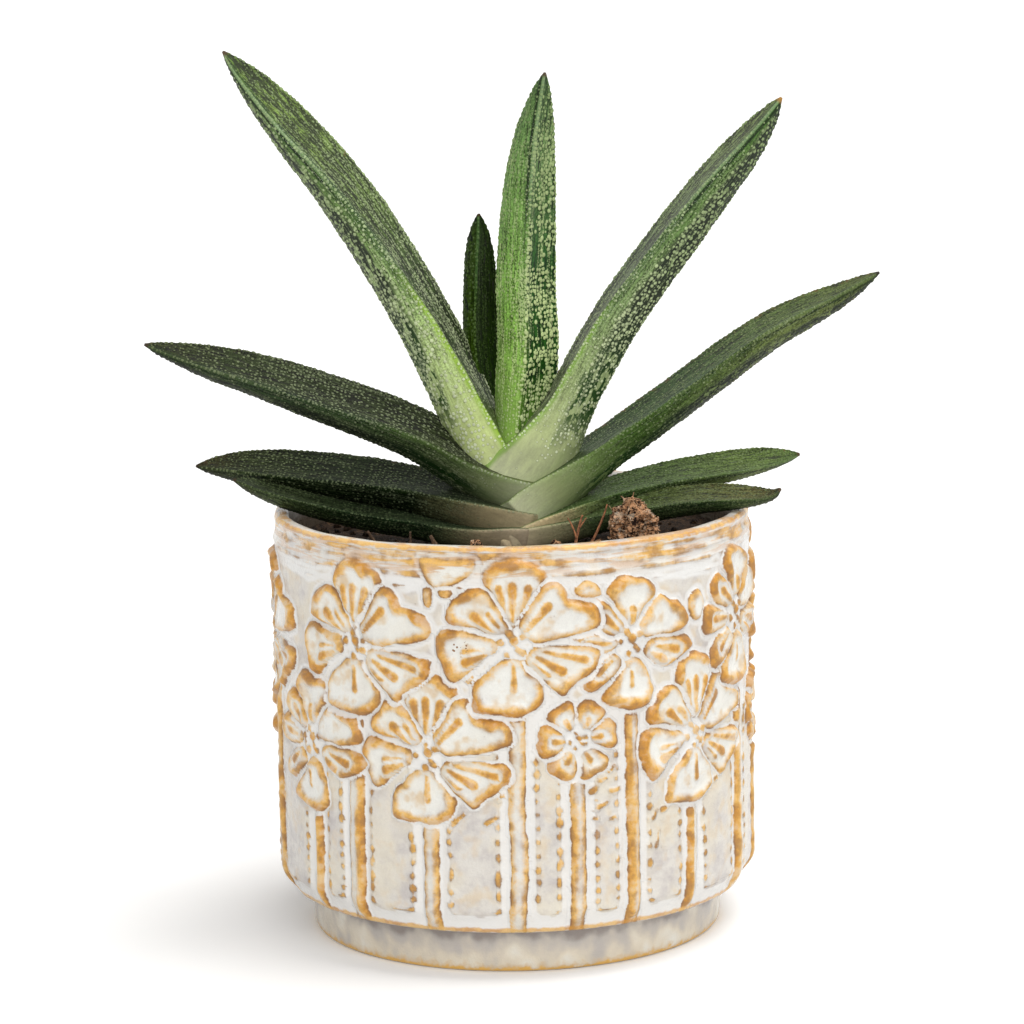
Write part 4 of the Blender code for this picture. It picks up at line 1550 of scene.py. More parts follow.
@dataclass
class SoilBed:
    """The potting soil: an uneven bed with loose crumbs on it. Sizes in mm."""

    node: str = "soil"
    around: int = 240
    rings: int = 56
    unevenness: float = 0.8
    crumbs: int = 210
    cavity: tuple[Pair, ...] = (
        (9.0, 47.0), (10.1, 53.0), (13.1, 57.5), (17.6, 60.6), (23.0, 61.9), (112.0, 64.0),
    )
    finish: Earth = Earth("potting_soil", srgb(34, 26, 21), srgb(78, 60, 46), srgb(128, 98, 66))

    def build(self) -> None:
        """Model and dress the soil."""
        low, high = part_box(self.node)
        radius = high.x / MM
        soil = add_tube("soil_bed", self.around, (11,), radius, low.z / MM, high.z / MM, "NGON")
        self.taper(soil, radius)
        edit(soil, "FACE")
        pick(soil, "faces", lambda face: face.normal.z > 0.9)
        for _ in range(self.rings):
            bpy.ops.mesh.inset(thickness=radius / (self.rings + 2) * MM)
        bpy.ops.mesh.poke()
        end_edit()
        self.roughen(soil, high.z / MM, radius)
        self.strew(soil, radius)
        finish_piece(soil, self.finish.material(), "soil", self.node)

    def taper(self, soil: Object, radius: float) -> None:
        """Draw the soil in below, as the cavity is.

        Args:
            soil: The soil.
            radius: Its radius at the top.
        """
        places = places_of(soil.data.vertices)
        levels, reaches = zip(*self.cavity)
        inner = np.interp(places[:, 2], levels, reaches)
        places[:, :2] *= (np.minimum(inner, radius) / radius)[:, None]
        move_corners(soil, places)

    def surface(self, x: Array, y: Array, level: float) -> Array:
        """The soil's height at places.

        Args:
            x: Their first coordinates.
            y: Their second coordinates.
            level: The bed's top.

        Returns:
            The heights.
        """
        coarse, fine = SmoothNoise(21), SmoothNoise(22)
        wave = coarse.at(x / 7.3, y / 7.3) * 0.5 + coarse.at(x / 3.1, y / 3.1, 4.5) * 0.35
        wave += fine.at(x / 1.6, y / 1.6) * 0.3
        dip = 1.2 * smooth_step(40, 18, np.hypot(x, y))
        return level - 0.75 - dip + self.unevenness * wave

    def roughen(self, soil: Object, level: float, radius: float) -> None:
        """Make the top uneven.

        Args:
            soil: The soil.
            level: Its top.
            radius: Its radius.
        """
        places = places_of(soil.data.vertices)
        top = (places[:, 2] > level - 0.2) & (np.hypot(places[:, 0], places[:, 1]) < radius - 0.5)
        jitter = SmoothNoise(23)
        places[top, 0] += jitter.at(places[top, 0] / 1.7, places[top, 1] / 1.7, 0.5) * 0.35
        places[top, 1] += jitter.at(places[top, 0] / 1.7, places[top, 1] / 1.7, 9.5) * 0.35
        places[top, 2] = self.surface(places[top, 0], places[top, 1], level)
        move_corners(soil, places)
        self.level = level

    def strew(self, soil: Object, radius: float) -> None:
        """Lay loose crumbs on the bed, all copies of one.

        Args:
            soil: The soil.
            radius: Its radius.
        """
        crumb = add_primitive("crumb", bpy.ops.mesh.primitive_ico_sphere_add, subdivisions=2, radius=MM)
        shape = places_of(crumb.data.vertices)
        noise = SmoothNoise(24)
        shape *= (1 + 0.4 * noise.at(shape[:, 0] * 1.4, shape[:, 1] * 1.4, shape[:, 2] * 1.4))[:, None]
        rng = np.random.default_rng(25)
        copies = []
        for _ in range(self.crumbs):
            reach, bearing = math.sqrt(rng.uniform(0.06, 0.93)) * radius, rng.uniform(0, TURN)
            size = rng.uniform(0.45, 1.0) ** 2 * 1.9
            x, y = reach * math.cos(bearing), reach * math.sin(bearing)
            turn = np.array(Matrix.Rotation(rng.uniform(0, TURN), 3, Vector(rng.normal(size=3))))
            stretch = rng.uniform(0.6, 1.1, 3) * size
            level = float(self.surface(np.array([x]), np.array([y]), self.level)[0])
            copy = crumb.copy()
            copy.data = crumb.data.copy()
            bpy.context.scene.collection.objects.link(copy)
            move_corners(copy, (shape * stretch) @ turn.T + (x, y, level + size * 0.2))
            copies.append(copy)
        bpy.data.objects.remove(crumb)
        choose(soil, *copies)
        bpy.ops.object.join()


# The leaves


class Face(Enum):
    """A leaf's three long faces, in their order round it."""

    INNER = 0
    FRONT = 1
    BACK = 2


@dataclass(frozen=True)
class Dots:
    """Raised dots on a part of a leaf: radius in mm, how many places are taken, how pale they show."""

    radius: float
    share: float
    show: float


@dataclass(frozen=True)
class DotPlan:
    """A leaf's dots, part by part. The strip is the part of the front face nearest the keel."""

    inner: Dots = Dots(0.34, 0.75, 0.35)
    front: Dots = Dots(0.32, 0.3, 0.85)
    strip: Dots = Dots(0.5, 0.8, 0.85)
    back: Dots = Dots(0.45, 0.7, 0.6)
    margin: Dots = Dots(0.55, 0.9, 0.6)
    strip_from: float = 0.5
    gap: float = 1.5
    pitch: float = 1.35
    clump: float = 0.5
    bare: float = 0.24
    young: float = 0.7


@dataclass
class Leaf:
    """A leaf: a long three-sided body with a ridge down its front. Sizes in mm.

    The path runs from base to tip. The ridge's place across the leaf is given at the base, the middle and
    the tip, as a share of the breadth from the upper margin.
    """

    node: str
    path: tuple[Triple, ...]
    breadth: float
    base_breadth: float
    taper: float
    depth: float
    base_depth: float
    ridge: Triple
    skin: LeafSkin
    slot: str = "leaf_dark"
    keel: float = 0.2
    upper_side: int = 1
    foot: tuple[Triple, ...] = ()
    layer: float | None = None
    dots: DotPlan = DotPlan()
    step: float = 0.46
    rounding: int = 5

    TUBE = 100.0
    TUBE_RADIUS = 10.0
    CUTS = 17
    FRONT_WAY = np.array([0.0, -1.0, 0.0])
    BASE_LENGTH = 34.0
    TIP_BREADTH = 0.7
    ATTACH_LENGTH = 15.0
    ATTACH_SHARE = 0.55
    LAYER_LENGTH = 12.0
    TUCK_FROM = 1.0
    TUCK = 1.3
    DOTS_FROM = 4.0
    DOTS_END = 1.6
    MARGIN_FROM = 8.0
    MARGIN_END = 1.2
    DOT_SPREAD = 1.3
    DOT_RISE = 0.62
    # How many rows and columns away from a dot's middle it may reach
    DOT_CELLS = 3
    # Where a face without a dot has its nearest one
    NO_DOT = 1e3

    def build(self) -> None:
        """Model and dress the leaf."""
        self.lay_out()
        block = self.CUTS + 1
        rows = block * max(round(self.length / self.step / block), 3) + 1
        self.lay_out(rows)
        cuts = (self.CUTS, (rows - 1) // block - 1)
        leaf = add_tube(
            self.node + "_skin", self.around, cuts, self.TUBE_RADIUS, 0.0, self.TUBE, "TRIFAN"
        )
        row, column, middle = self.find(places_of(leaf.data.vertices), 0.0)
        face_row, face_column, face_end = self.find(places_of(leaf.data.polygons, "center"), 0.5)
        self.scatter()
        places = self.raise_dots()[row, column]
        for end in (0, rows - 1):
            places[middle & (row == end)] = self.places[end].mean(0)
        move_corners(leaf, places)
        self.store_fields(leaf, row, column, face_row, face_column, face_end)
        finish_piece(leaf, self.skin.material(self.node + "_skin"), self.slot, self.node)

    def lay_out(self, rows: int = 200) -> None:
        """Work out the leaf's smooth surface.

        Args:
            rows: How many sections it has.
        """
        centres = smooth_path((*self.foot, *self.path[1:]) if self.foot else self.path, rows)
        ahead = np.gradient(centres, axis=0)
        ahead /= norm(ahead, axis=1)[:, None]
        forward = self.FRONT_WAY - ahead * (ahead @ self.FRONT_WAY)[:, None]
        forward /= norm(forward, axis=1)[:, None]
        across = np.cross(ahead, forward) * self.upper_side
        steps = norm(np.diff(centres, axis=0), axis=1)
        from_end = np.concatenate([[0], np.cumsum(steps)])
        self.length = from_end[-1]
        lead = from_end[norm(centres - self.path[0], axis=1).argmin()] if self.foot else 0.0
        from_base = from_end - lead
        self.along = np.maximum(from_base / (self.length - lead), 0.0)
        clasp = 1 - smooth_step(0, self.BASE_LENGTH, from_base)
        swell = 1 - np.exp(-(self.length - from_end) / self.taper)
        breadth = (self.breadth + (self.base_breadth - self.breadth) * clasp) * swell + self.TIP_BREADTH
        attach = self.ATTACH_SHARE + (1 - self.ATTACH_SHARE) * smooth_step(0, self.ATTACH_LENGTH, from_base)
        depth = (self.depth + (self.base_depth - self.depth) * clasp) * swell * attach + self.TIP_BREADTH
        if self.layer is not None:
            held = 1 - smooth_step(self.LAYER_LENGTH, self.LAYER_LENGTH + 28, from_base)
            tucked = self.layer + np.maximum(self.TUCK_FROM - from_base, 0) * self.TUCK
            centres[:, 1] += held * (tucked + depth / 2 - centres[:, 1])
        ridge = breadth / 2 - np.polyval(np.polyfit((0, 0.5, 1), self.ridge, 2), self.along) * breadth
        corners = np.stack(
            [
                np.stack([breadth / 2, -depth / 2], 1),
                np.stack([ridge, depth / 2], 1),
                np.stack([-breadth / 2, -self.keel * depth / 2], 1),
            ],
            1,
        )
        girth = norm(corners - np.roll(corners, 1, 1), axis=2).sum(1).max()
        self.side = round(girth * 1.06 / self.step / 3)
        self.around = self.side * 3
        outline = self.round_section(corners, clasp)
        self.places = centres[:, None] + across[:, None] * outline[..., :1]
        self.places = self.places + forward[:, None] * outline[..., 1:]
        self.unrolled = np.concatenate(
            [np.broadcast_to(from_end[:, None, None], (rows, self.around, 1)), outline], axis=2
        )
        self.measure_faces(outline)
        self.outward = self.find_outward(centres)

    def round_section(self, corners: Array, clasp: Array) -> Array:
        """Points round each section, over curved faces and softened corners.

        Args:
            corners: Each section's upper margin, ridge and keel.
            clasp: How much each section belongs to the base.

        Returns:
            The points.
        """
        share = np.arange(self.side) / self.side
        bulges = (np.full(len(clasp), -0.05), 0.13 + 0.1 * clasp, 0.13 + 0.1 * clasp)
        faces = []
        for index, bulge in enumerate(bulges):
            start, end = corners[:, index], corners[:, (index + 1) % 3]
            side = end - start
            outward = np.stack([side[:, 1], -side[:, 0]], 1) * bulge[:, None]
            line = start[:, None] + side[:, None] * share[None, :, None]
            faces.append(line + outward[:, None] * (4 * share * (1 - share))[None, :, None])
        outline = np.concatenate(faces, 1)
        for _ in range(self.rounding):
            outline = blur(outline, 1)
        return outline

    def measure_faces(self, outline: Array) -> None:
        """Work out each place's face, and how far it is from the ridge and the margins.

        Args:
            outline: The points of each section.
        """
        column = np.arange(self.around)
        face = column // self.side
        within = (column % self.side) / self.side
        inner, front = face == Face.INNER.value, face == Face.FRONT.value
        self.front, self.inner = front.astype(float), inner.astype(float)
        self.share = np.select([inner, front], [1 - within, within], 1.0)
        ridge, upper, keel = outline[:, self.side], outline[:, 0], outline[:, 2 * self.side]
        self.from_ridge = norm(outline - ridge[:, None], axis=2)
        self.from_margin = np.minimum(
            norm(outline - upper[:, None], axis=2), norm(outline - keel[:, None], axis=2)
        )
        for name in ("front", "inner", "share"):
            setattr(self, name, blur(getattr(self, name), 0))

    def find_outward(self, centres: Array) -> Array:
        """The surface's outward directions.

        Args:
            centres: The sections' middles.

        Returns:
            A unit vector for each place.
        """
        lengthwise = np.gradient(self.places, axis=0)
        round_about = np.roll(self.places, -1, 1) - np.roll(self.places, 1, 1)
        outward = np.cross(lengthwise, round_about)
        outward /= np.maximum(norm(outward, axis=2, keepdims=True), 1e-9)
        facing = (outward * (self.places - centres[:, None])).sum(2).mean()
        return outward * math.copysign(1.0, facing)

    def find(self, places: Array, shift: float) -> tuple[Array, Array, Array]:
        """Which row and column of the surface each place of the plain tube stands for.

        Args:
            places: The places on the tube.
            shift: 0 for its vertices, 0.5 for its faces.

        Returns:
            The rows, the columns, and which places lie on its axis or ends.
        """
        last = len(self.along) - 1
        row = np.clip(np.round(places[:, 2] / self.TUBE * last - shift), 0, last - (shift > 0)).astype(int)
        turn = np.arctan2(places[:, 0], places[:, 1]) / TURN * self.around
        column = np.round(turn - shift).astype(int) % self.around
        reach = np.hypot(places[:, 0], places[:, 1])
        return row, column, reach < self.TUBE_RADIUS * (0.9 if shift else 0.1)

    def scatter(self) -> None:
        """Scatter the dots in rough rows across the leaf."""
        rng = np.random.default_rng(sum(map(ord, self.node)) + round(self.length))
        spacing = self.length / (len(self.along) - 1)
        plan, found = self.dots, []
        self.crowds = SmoothNoise(17)
        level = self.DOTS_FROM
        while level < self.length - self.DOTS_END:
            row = level / spacing
            section = self.places[int(row)]
            around = np.concatenate([[0], np.cumsum(norm(np.diff(section, axis=0), axis=1))])
            count = max(int(around[-1] / plan.pitch), 6)
            spots = (np.arange(count) + rng.uniform(-0.32, 0.32, count) + rng.uniform()) % count
            columns = np.interp(spots / count * around[-1], around, np.arange(self.around))
            rows = row + rng.uniform(-0.3, 0.3, count) * plan.gap / spacing
            for column, place in zip(columns, rows):
                found.append(self.dot_at(rng, column, min(max(place, 0.0), len(self.along) - 1.001)))
            level += plan.gap * rng.choice((0.8, 1.0, 1.25))
        for column in (0, self.side, 2 * self.side):
            level = self.MARGIN_FROM
            while level < self.length - self.MARGIN_END:
                chance, tone = rng.uniform(size=2)
                size = plan.margin.radius * rng.uniform(0.7, 1.15)
                if column == self.side:
                    size *= 0.7
                if chance < plan.margin.share:
                    place = (level / spacing, column + rng.uniform(-0.6, 0.6))
                    found.append((*place, size, tone, plan.margin.show, 1.0))
                level += rng.uniform(1.0, 1.9)
        self.spots = np.array([dot for dot in found if dot])

    def dot_at(self, rng: np.random.Generator, column: float, row: float) -> tuple | None:
        """Decide on one dot.

        Args:
            rng: The random numbers.
            column: Its place round the leaf.
            row: Its place along it.

        Returns:
            Its row, column, radius, tone, show and height share, or None for no dot.
        """
        face, within = divmod(column, self.side)
        chance, tone, size = rng.uniform(size=3)
        within /= self.side
        plan = self.dots
        if face == Face.INNER.value:
            kind, height = plan.inner, 0.8
        elif face >= Face.BACK.value:
            kind, height = plan.back, 1.0
        elif within > plan.strip_from:
            kind, height = plan.strip, 1.0
        else:
            kind, height = plan.front, 0.5
        grown = smooth_step(plan.bare * 0.3, plan.bare, self.along[int(row)])
        crowd = self.crowds.at(row * self.step / 7.0, column / self.side * 4.0, 2.0)
        if chance > kind.share * (0.12 + 0.88 * grown) * (1.0 + plan.clump * (crowd - 0.3)):
            return None
        taper = 0.75 + 0.25 * min(1.0, (1 - row / len(self.along)) * 6)
        old = smooth_step(0.12, 0.36, self.along[int(row)])
        taper *= plan.young + (1.0 - plan.young) * old
        height *= (0.3 + 0.7 * grown) * (0.45 + 0.55 * old)
        return row, column, kind.radius * (0.7 + 0.55 * size) * taper, tone, kind.show, height

    def around_spots(self, grid: Array) -> Any:
        """Go over the places near each dot.

        Args:
            grid: The unrolled places.

        Yields:
            For each step, the rows, the columns, and their distances from the dots.
        """
        row, column = self.spots[:, 0], self.spots[:, 1]
        for down in range(-self.DOT_CELLS, self.DOT_CELLS + 1):
            for side in range(-self.DOT_CELLS, self.DOT_CELLS + 1):
                rows = np.clip(np.round(row).astype(int) + down, 0, len(grid) - 1)
                columns = (np.round(column).astype(int) + side) % self.around
                yield rows, columns, norm(grid[rows, columns] - self.spot_places, axis=1)

    def raise_dots(self) -> Array:
        """Raise the surface at each dot, and roughen it a little.

        Returns:
            The surface's places.
        """
        low_row, low_column = self.spots[:, 0].astype(int), self.spots[:, 1].astype(int) % self.around
        next_row, next_column = np.minimum(low_row + 1, len(self.along) - 1), (low_column + 1) % self.around
        up, aside = (self.spots[:, :2] % 1).T[:, :, None]
        grid = self.unrolled
        self.spot_places = (
            grid[low_row, low_column] * (1 - up) * (1 - aside)
            + grid[next_row, low_column] * up * (1 - aside)
            + grid[low_row, next_column] * (1 - up) * aside
            + grid[next_row, next_column] * up * aside
        )
        height = np.zeros(grid.shape[:2])
        radius = self.spots[:, 2] * self.DOT_SPREAD
        top = self.spots[:, 2] * self.DOT_RISE * self.spots[:, 5]
        for rows, columns, gap in self.around_spots(grid):
            share = np.clip(1 - (gap / radius) ** 2, 0, 1)
            np.maximum.at(height, (rows, columns), top * share**1.5)
        noise = SmoothNoise(31)
        rough = noise.at(grid[..., 0] / 1.3, grid[..., 1] / 1.1, grid[..., 2] / 1.1) * 0.07
        wave = noise.at(grid[..., 0] / 9, grid[..., 1] / 7, grid[..., 2] / 7 + 3) * 0.16
        held = smooth_step(0.0, 0.12, self.along)[:, None]
        tip = smooth_step(0.0, 5.0, (1 - self.along) * self.length)[:, None]
        rise = height + rough * (1 - self.front[None] * 0.6) + wave
        rise = rise * (0.3 + 0.7 * held) * (0.15 + 0.85 * tip)
        return self.places + self.outward * rise[..., None]

    def store_fields(
        self, leaf: Object, row: Array, column: Array, face_row: Array, face_column: Array, face_end: Array
    ) -> None:
        """Store what the leaf's material reads.

        Args:
            leaf: The leaf.
            row: Each vertex's row.
            column: Each vertex's column.
            face_row: Each face's row.
            face_column: Each face's column.
            face_end: Which faces close the ends.
        """
        store(leaf, "lay", np.stack([self.along[row], self.front[column], self.inner[column]], 1))
        reach = np.stack([self.share[column], self.from_ridge[row, column], self.from_margin[row, column]], 1)
        store(leaf, "reach", reach)
        store(leaf, "skin", self.unrolled[row, column])
        grid = self.unrolled
        middles = (grid[:-1] + grid[1:]) / 4
        middles = middles + np.roll(middles, -1, 1)
        best = np.full(middles.shape[:2], np.inf)
        owner = np.full(middles.shape[:2], -1)
        for rows, columns, gap in self.around_spots(middles):
            np.minimum.at(best, (rows, columns), gap - self.spots[:, 2])
        for rows, columns, gap in self.around_spots(middles):
            hit = gap - self.spots[:, 2] <= best[rows, columns] + 1e-9
            owner[rows[hit], columns[hit]] = np.nonzero(hit)[0]
        chosen = owner[face_row, face_column]
        missing = (chosen < 0) | face_end
        spot = np.where(missing[:, None], self.NO_DOT, self.spot_places[chosen])
        girth = np.where(missing[:, None], 0.0, self.spots[chosen][:, 2:5])
        store(leaf, "spot", spot, "FACE")
        store(leaf, "girth", girth, "FACE")


PALE_INNER = (
    (0.0, 150, 172, 90), (0.18, 50, 68, 30), (0.45, 60, 78, 38), (0.7, 96, 116, 60), (0.88, 112, 136, 66),
    (1.0, 80, 102, 46),
)
LEAVES = (
    Leaf(
        "leaf_01", ((3, 1, 130), (4.5, 1, 152), (6, 0, 172), (5.7, 0, 192), (8, -1, 227), (12, -2, 252)),
        18, 14, 19, 10, 9, (0.7, 0.5, 0.5),
        LeafSkin(
            front=((0.0, 184, 210, 112), (0.15, 148, 188, 88), (0.4, 124, 166, 74), (0.65, 112, 150, 74),
                (0.85, 94, 126, 68), (1.0, 66, 90, 48)),
            inner=((0.0, 180, 200, 112), (0.14, 104, 146, 52), (0.28, 36, 82, 22), (0.55, 42, 84, 34),
                (0.8, 92, 120, 70), (1.0, 72, 94, 54)),
            dots=((0.0, 226, 236, 190), (0.3, 208, 224, 158), (0.6, 180, 198, 138), (1.0, 132, 154, 100)),
            blotch=-1.0, blotch_from=0.1, blotch_colour=srgb(30, 52, 28), streak=0.55,
            streak_colour=srgb(26, 44, 24), glow=0.15, groove=0.9, sparkle=0.7, brown=0.0, contrast=1.7,
            beads=0.7,
        ),
        slot="leaf_light", keel=1.0,
        dots=DotPlan(
            inner=Dots(0.58, 0.95, 0.95), front=Dots(0.36, 0.85, 0.6), strip=Dots(0.44, 0.85, 0.7),
            margin=Dots(0.62, 0.95, 0.75), strip_from=0.7, gap=1.25, pitch=1.25, bare=0.05, clump=0.8,
            young=1.0,
        ),
    ),
    Leaf(
        "leaf_02", ((0, 5, 132), (-4.5, 10, 150), (-7.5, 12, 170), (-7.8, 13, 190), (-8, 14, 210)),
        10.6, 10, 8, 9, 9, (0.72, 0.68, 0.5),
        LeafSkin(
            front=((0.0, 70, 100, 14), (0.3, 60, 88, 6), (0.7, 56, 80, 14), (1.0, 58, 78, 34)),
            inner=((0.0, 60, 88, 12), (0.25, 28, 52, 0), (0.7, 26, 44, 0), (1.0, 36, 54, 16)),
            dots=((0.0, 104, 138, 56), (0.5, 118, 146, 82), (1.0, 118, 142, 92)),
            blotch=0.3, blotch_from=0.3, streak=0.2, glow=0.2, ridge_highlight_colour=srgb(92, 130, 72), groove=0.2,
            sparkle=0.1, brown=0.0, tone=0.66, shine=0.02, contrast=1.6,
        ),
        keel=0.6,
        dots=DotPlan(
            inner=Dots(0.32, 0.5, 0.2), front=Dots(0.4, 0.8, 0.6), strip=Dots(0.44, 0.8, 0.6), bare=0.1,
        ),
    ),
    Leaf(
        "leaf_03", ((-1, 0, 131), (-8, 1, 143), (-24.3, 3, 178.8), (-44.3, 7, 212.8), (-66, 10, 240.6),
            (-82, 12, 259)),
        16.7, 15, 20, 15, 15, (0.03, 0.43, 0.8),
        LeafSkin(
            front=((0.0, 226, 234, 176), (0.12, 206, 222, 146), (0.26, 184, 206, 134), (0.4, 142, 168, 104),
                (0.58, 96, 122, 68), (0.8, 84, 110, 56), (1.0, 98, 122, 64)),
            inner=PALE_INNER, blotch=1.0, blotch_from=0.3, strip_share=0.5, sunk=0.25, sparse=0.07,
            streak=0.95, glow=0.8, groove=0.95, sparkle=0.95, brown=0.1, contrast=1.7, beads=0.5,
            streak_colour=srgb(36, 40, 30), narrow=0.24, glow_colour=srgb(150, 190, 54),
        ),
        slot="leaf_light",
        dots=DotPlan(
            inner=Dots(0.38, 0.9, 0.42), front=Dots(0.4, 0.75, 0.9), strip=Dots(0.54, 0.85, 0.95),
            margin=Dots(0.62, 0.95, 0.6), strip_from=0.22, gap=1.5, pitch=1.45, bare=0.04, young=0.95,
        ),
    ),
    Leaf(
        "leaf_04", ((2, 0, 131), (13, -1, 146), (32.3, -3, 180), (55.8, -5, 212.2), (71.7, -7, 232.3),
            (80, -8, 244)),
        13.7, 24, 15, 14, 19, (0.03, 0.13, 0.33),
        LeafSkin(
            front=((0.0, 208, 214, 172), (0.13, 188, 200, 142), (0.28, 152, 172, 114), (0.45, 114, 136, 86),
                (0.62, 92, 118, 66), (0.82, 80, 108, 52), (1.0, 78, 112, 54)),
            inner=((0.0, 150, 164, 104), (0.2, 92, 104, 74), (0.5, 84, 98, 70), (0.8, 104, 118, 80),
                (1.0, 104, 118, 72)),
            blotch=1.25, blotch_from=0.3, strip_share=0.5, sunk=0.15, sparse=0.08, streak=0.8, glow=0.75,
            groove=0.85, sparkle=0.95, brown=0.12, contrast=1.5, beads=0.4, tip_colour=srgb(168, 124, 62),
            narrow=0.02,
        ),
        slot="leaf_light", upper_side=-1,
        dots=DotPlan(
            inner=Dots(0.34, 0.8, 0.45), front=Dots(0.36, 0.42, 0.9), strip=Dots(0.52, 0.88, 0.95),
            margin=Dots(0.58, 0.95, 0.7), strip_from=0.3, gap=1.35, pitch=1.35, bare=0.16,
        ),
    ),
    Leaf(
        "leaf_05", ((9.5, 0, 126), (-10, -1, 135), (-30, -4, 147.9), (-67, -8, 163.4), (-92, -10.5, 171.6),
            (-105.5, -12, 176)),
        14.6, 16, 22, 17, 22, (0.15, 0.53, 0.6),
        LeafSkin(
            front=((0.0, 212, 214, 180), (0.14, 160, 174, 122), (0.24, 100, 120, 74), (0.42, 76, 98, 58),
                (0.65, 58, 78, 46), (0.85, 52, 72, 38), (1.0, 58, 70, 34)),
            inner=((0.0, 140, 146, 100), (0.2, 70, 80, 50), (0.5, 66, 76, 48), (0.8, 62, 74, 42),
                (1.0, 70, 74, 44)),
            dots=((0.0, 222, 228, 200), (0.3, 196, 210, 164), (0.6, 182, 196, 150), (1.0, 158, 170, 122)),
            blotch=1.3, blotch_from=0.3, sunk=0.3, strip_share=0.25, streak=0.65, glow=0.2, groove=0.5,
            sparkle=0.6, brown=0.3, tone=0.49, shine=0.07, contrast=2.0, narrow=0.0, glint=0.3,
            ridge_highlight_colour=srgb(104, 126, 80), ridge_highlight=0.5,
        ),
        foot=((19.5, 0, 120.5), (9.5, 0, 126)), layer=-10.5,
        dots=DotPlan(
            inner=Dots(0.4, 0.85, 0.75), front=Dots(0.32, 0.35, 0.6), strip=Dots(0.42, 0.75, 0.75),
            margin=Dots(0.55, 0.9, 0.6), strip_from=0.6, gap=1.35,
        ),
    ),
    Leaf(
        "leaf_06", ((3, 0, 122), (12, 1, 129), (42.3, 3.5, 149.5), (74.8, 7, 172.5), (97.5, 9, 184),
            (110, 10, 191)),
        11.8, 17, 18, 16, 25, (0.05, 0.32, 0.33),
        LeafSkin(
            front=((0.0, 206, 210, 172), (0.1, 178, 190, 136), (0.2, 116, 140, 80), (0.32, 68, 96, 40),
                (0.5, 84, 104, 52), (0.75, 98, 112, 58), (1.0, 88, 98, 52)),
            inner=((0.0, 120, 136, 84), (0.2, 52, 72, 38), (0.5, 60, 82, 46), (0.8, 84, 100, 54),
                (1.0, 88, 98, 52)),
            dots=((0.0, 214, 222, 186), (0.3, 166, 184, 134), (0.6, 160, 174, 122), (1.0, 138, 150, 98)),
            blotch=1.1, blotch_from=0.34, sunk=0.4, strip_share=0.25, streak=0.45, glow=0.1, groove=0.75,
            sparkle=0.6, brown=0.6, tone=0.84, shine=0.1, contrast=1.7, tip_colour=srgb(48, 42, 34),
            glint=0.35, narrow=0.2, ridge_highlight_colour=srgb(116, 138, 84), ridge_highlight=0.4,
        ),
        upper_side=-1, foot=((-8.0, 0, 112.5), (3, 0, 121)), layer=-12.0,
        dots=DotPlan(
            inner=Dots(0.32, 0.7, 0.55), front=Dots(0.34, 0.5, 0.55), strip=Dots(0.4, 0.75, 0.65),
            margin=Dots(0.48, 0.9, 0.5),
        ),
    ),
    Leaf(
        "leaf_07", ((6, 0, 119), (-14, 1, 125), (-34, 3, 130), (-54, 5, 133.2), (-79, 8, 135.9),
            (-93.5, 9, 136.7)),
        13, 14, 13, 17, 28, (0.1, 0.44, 0.5),
        LeafSkin(
            # The darkest stops of this front face are partly painted shade on the leaf's lower face
            front=((0.0, 222, 204, 164), (0.15, 212, 194, 150), (0.24, 140, 142, 100), (0.34, 26, 44, 18),
                (0.6, 26, 42, 18), (0.85, 52, 66, 34), (1.0, 70, 72, 42)),
            inner=((0.0, 120, 128, 92), (0.2, 58, 72, 48), (0.6, 58, 72, 44), (0.85, 66, 76, 42),
                (1.0, 84, 76, 50)),
            dots=((0.0, 180, 186, 150), (0.3, 186, 204, 158), (1.0, 176, 190, 136)),
            blotch=0.5, streak=0.4, groove=0.4, sparkle=0.3, brown=0.35, tone=0.37, shine=0.04, contrast=2.2,
            glint=0.45, ridge_highlight_colour=srgb(84, 104, 60), ridge_highlight=0.4,
        ),
        foot=((18.0, 0, 113.5), (6, 0, 118.5)), layer=-13.5,
        dots=DotPlan(
            inner=Dots(0.38, 0.85, 0.75), front=Dots(0.34, 0.6, 0.6), strip=Dots(0.38, 0.7, 0.65),
            margin=Dots(0.5, 0.9, 0.7), gap=1.35,
        ),
    ),
    Leaf(
        "leaf_08", ((-4, 0, 116.4), (12, 1, 120.3), (28, 2, 126), (47, 3, 130.9), (72.5, 5, 135.7),
            (86, 6, 137.7)),
        9.1, 12, 11, 16, 30, (0.1, 0.38, 0.75),
        LeafSkin(
            front=((0.0, 224, 204, 168), (0.17, 212, 190, 148), (0.3, 112, 124, 76), (0.38, 58, 78, 40),
                (0.6, 72, 88, 44), (0.85, 84, 98, 50), (1.0, 66, 84, 46)),
            inner=((0.0, 124, 134, 90), (0.2, 62, 82, 40), (0.5, 76, 96, 50), (0.8, 88, 106, 54),
                (1.0, 74, 92, 46)),
            dots=((0.0, 180, 186, 150), (0.3, 138, 156, 110), (1.0, 132, 148, 98)),
            groove=0.8, sparkle=0.3, brown=0.2, tone=1.03, shine=0.08, contrast=1.8, glint=0.4,
            ridge_highlight_colour=srgb(104, 128, 78), ridge_highlight=0.4,
        ),
        upper_side=-1, foot=((-12.0, 0, 103.5), (-1, 0, 113)), layer=-15.0,
        dots=DotPlan(
            inner=Dots(0.34, 0.85, 0.65), front=Dots(0.32, 0.6, 0.55), strip=Dots(0.34, 0.7, 0.55),
            margin=Dots(0.42, 0.9, 0.4), gap=1.3,
        ),
    ),
    Leaf(
        "leaf_09", ((5, 0, 117), (-10, -1, 117.5), (-24, -1, 119), (-43.5, -2, 122.4), (-68.5, -3.5, 129.5),
            (-81.5, -4, 134.5)),
        8.1, 9.5, 11, 16, 32, (0.15, 0.25, 0.35),
        LeafSkin(
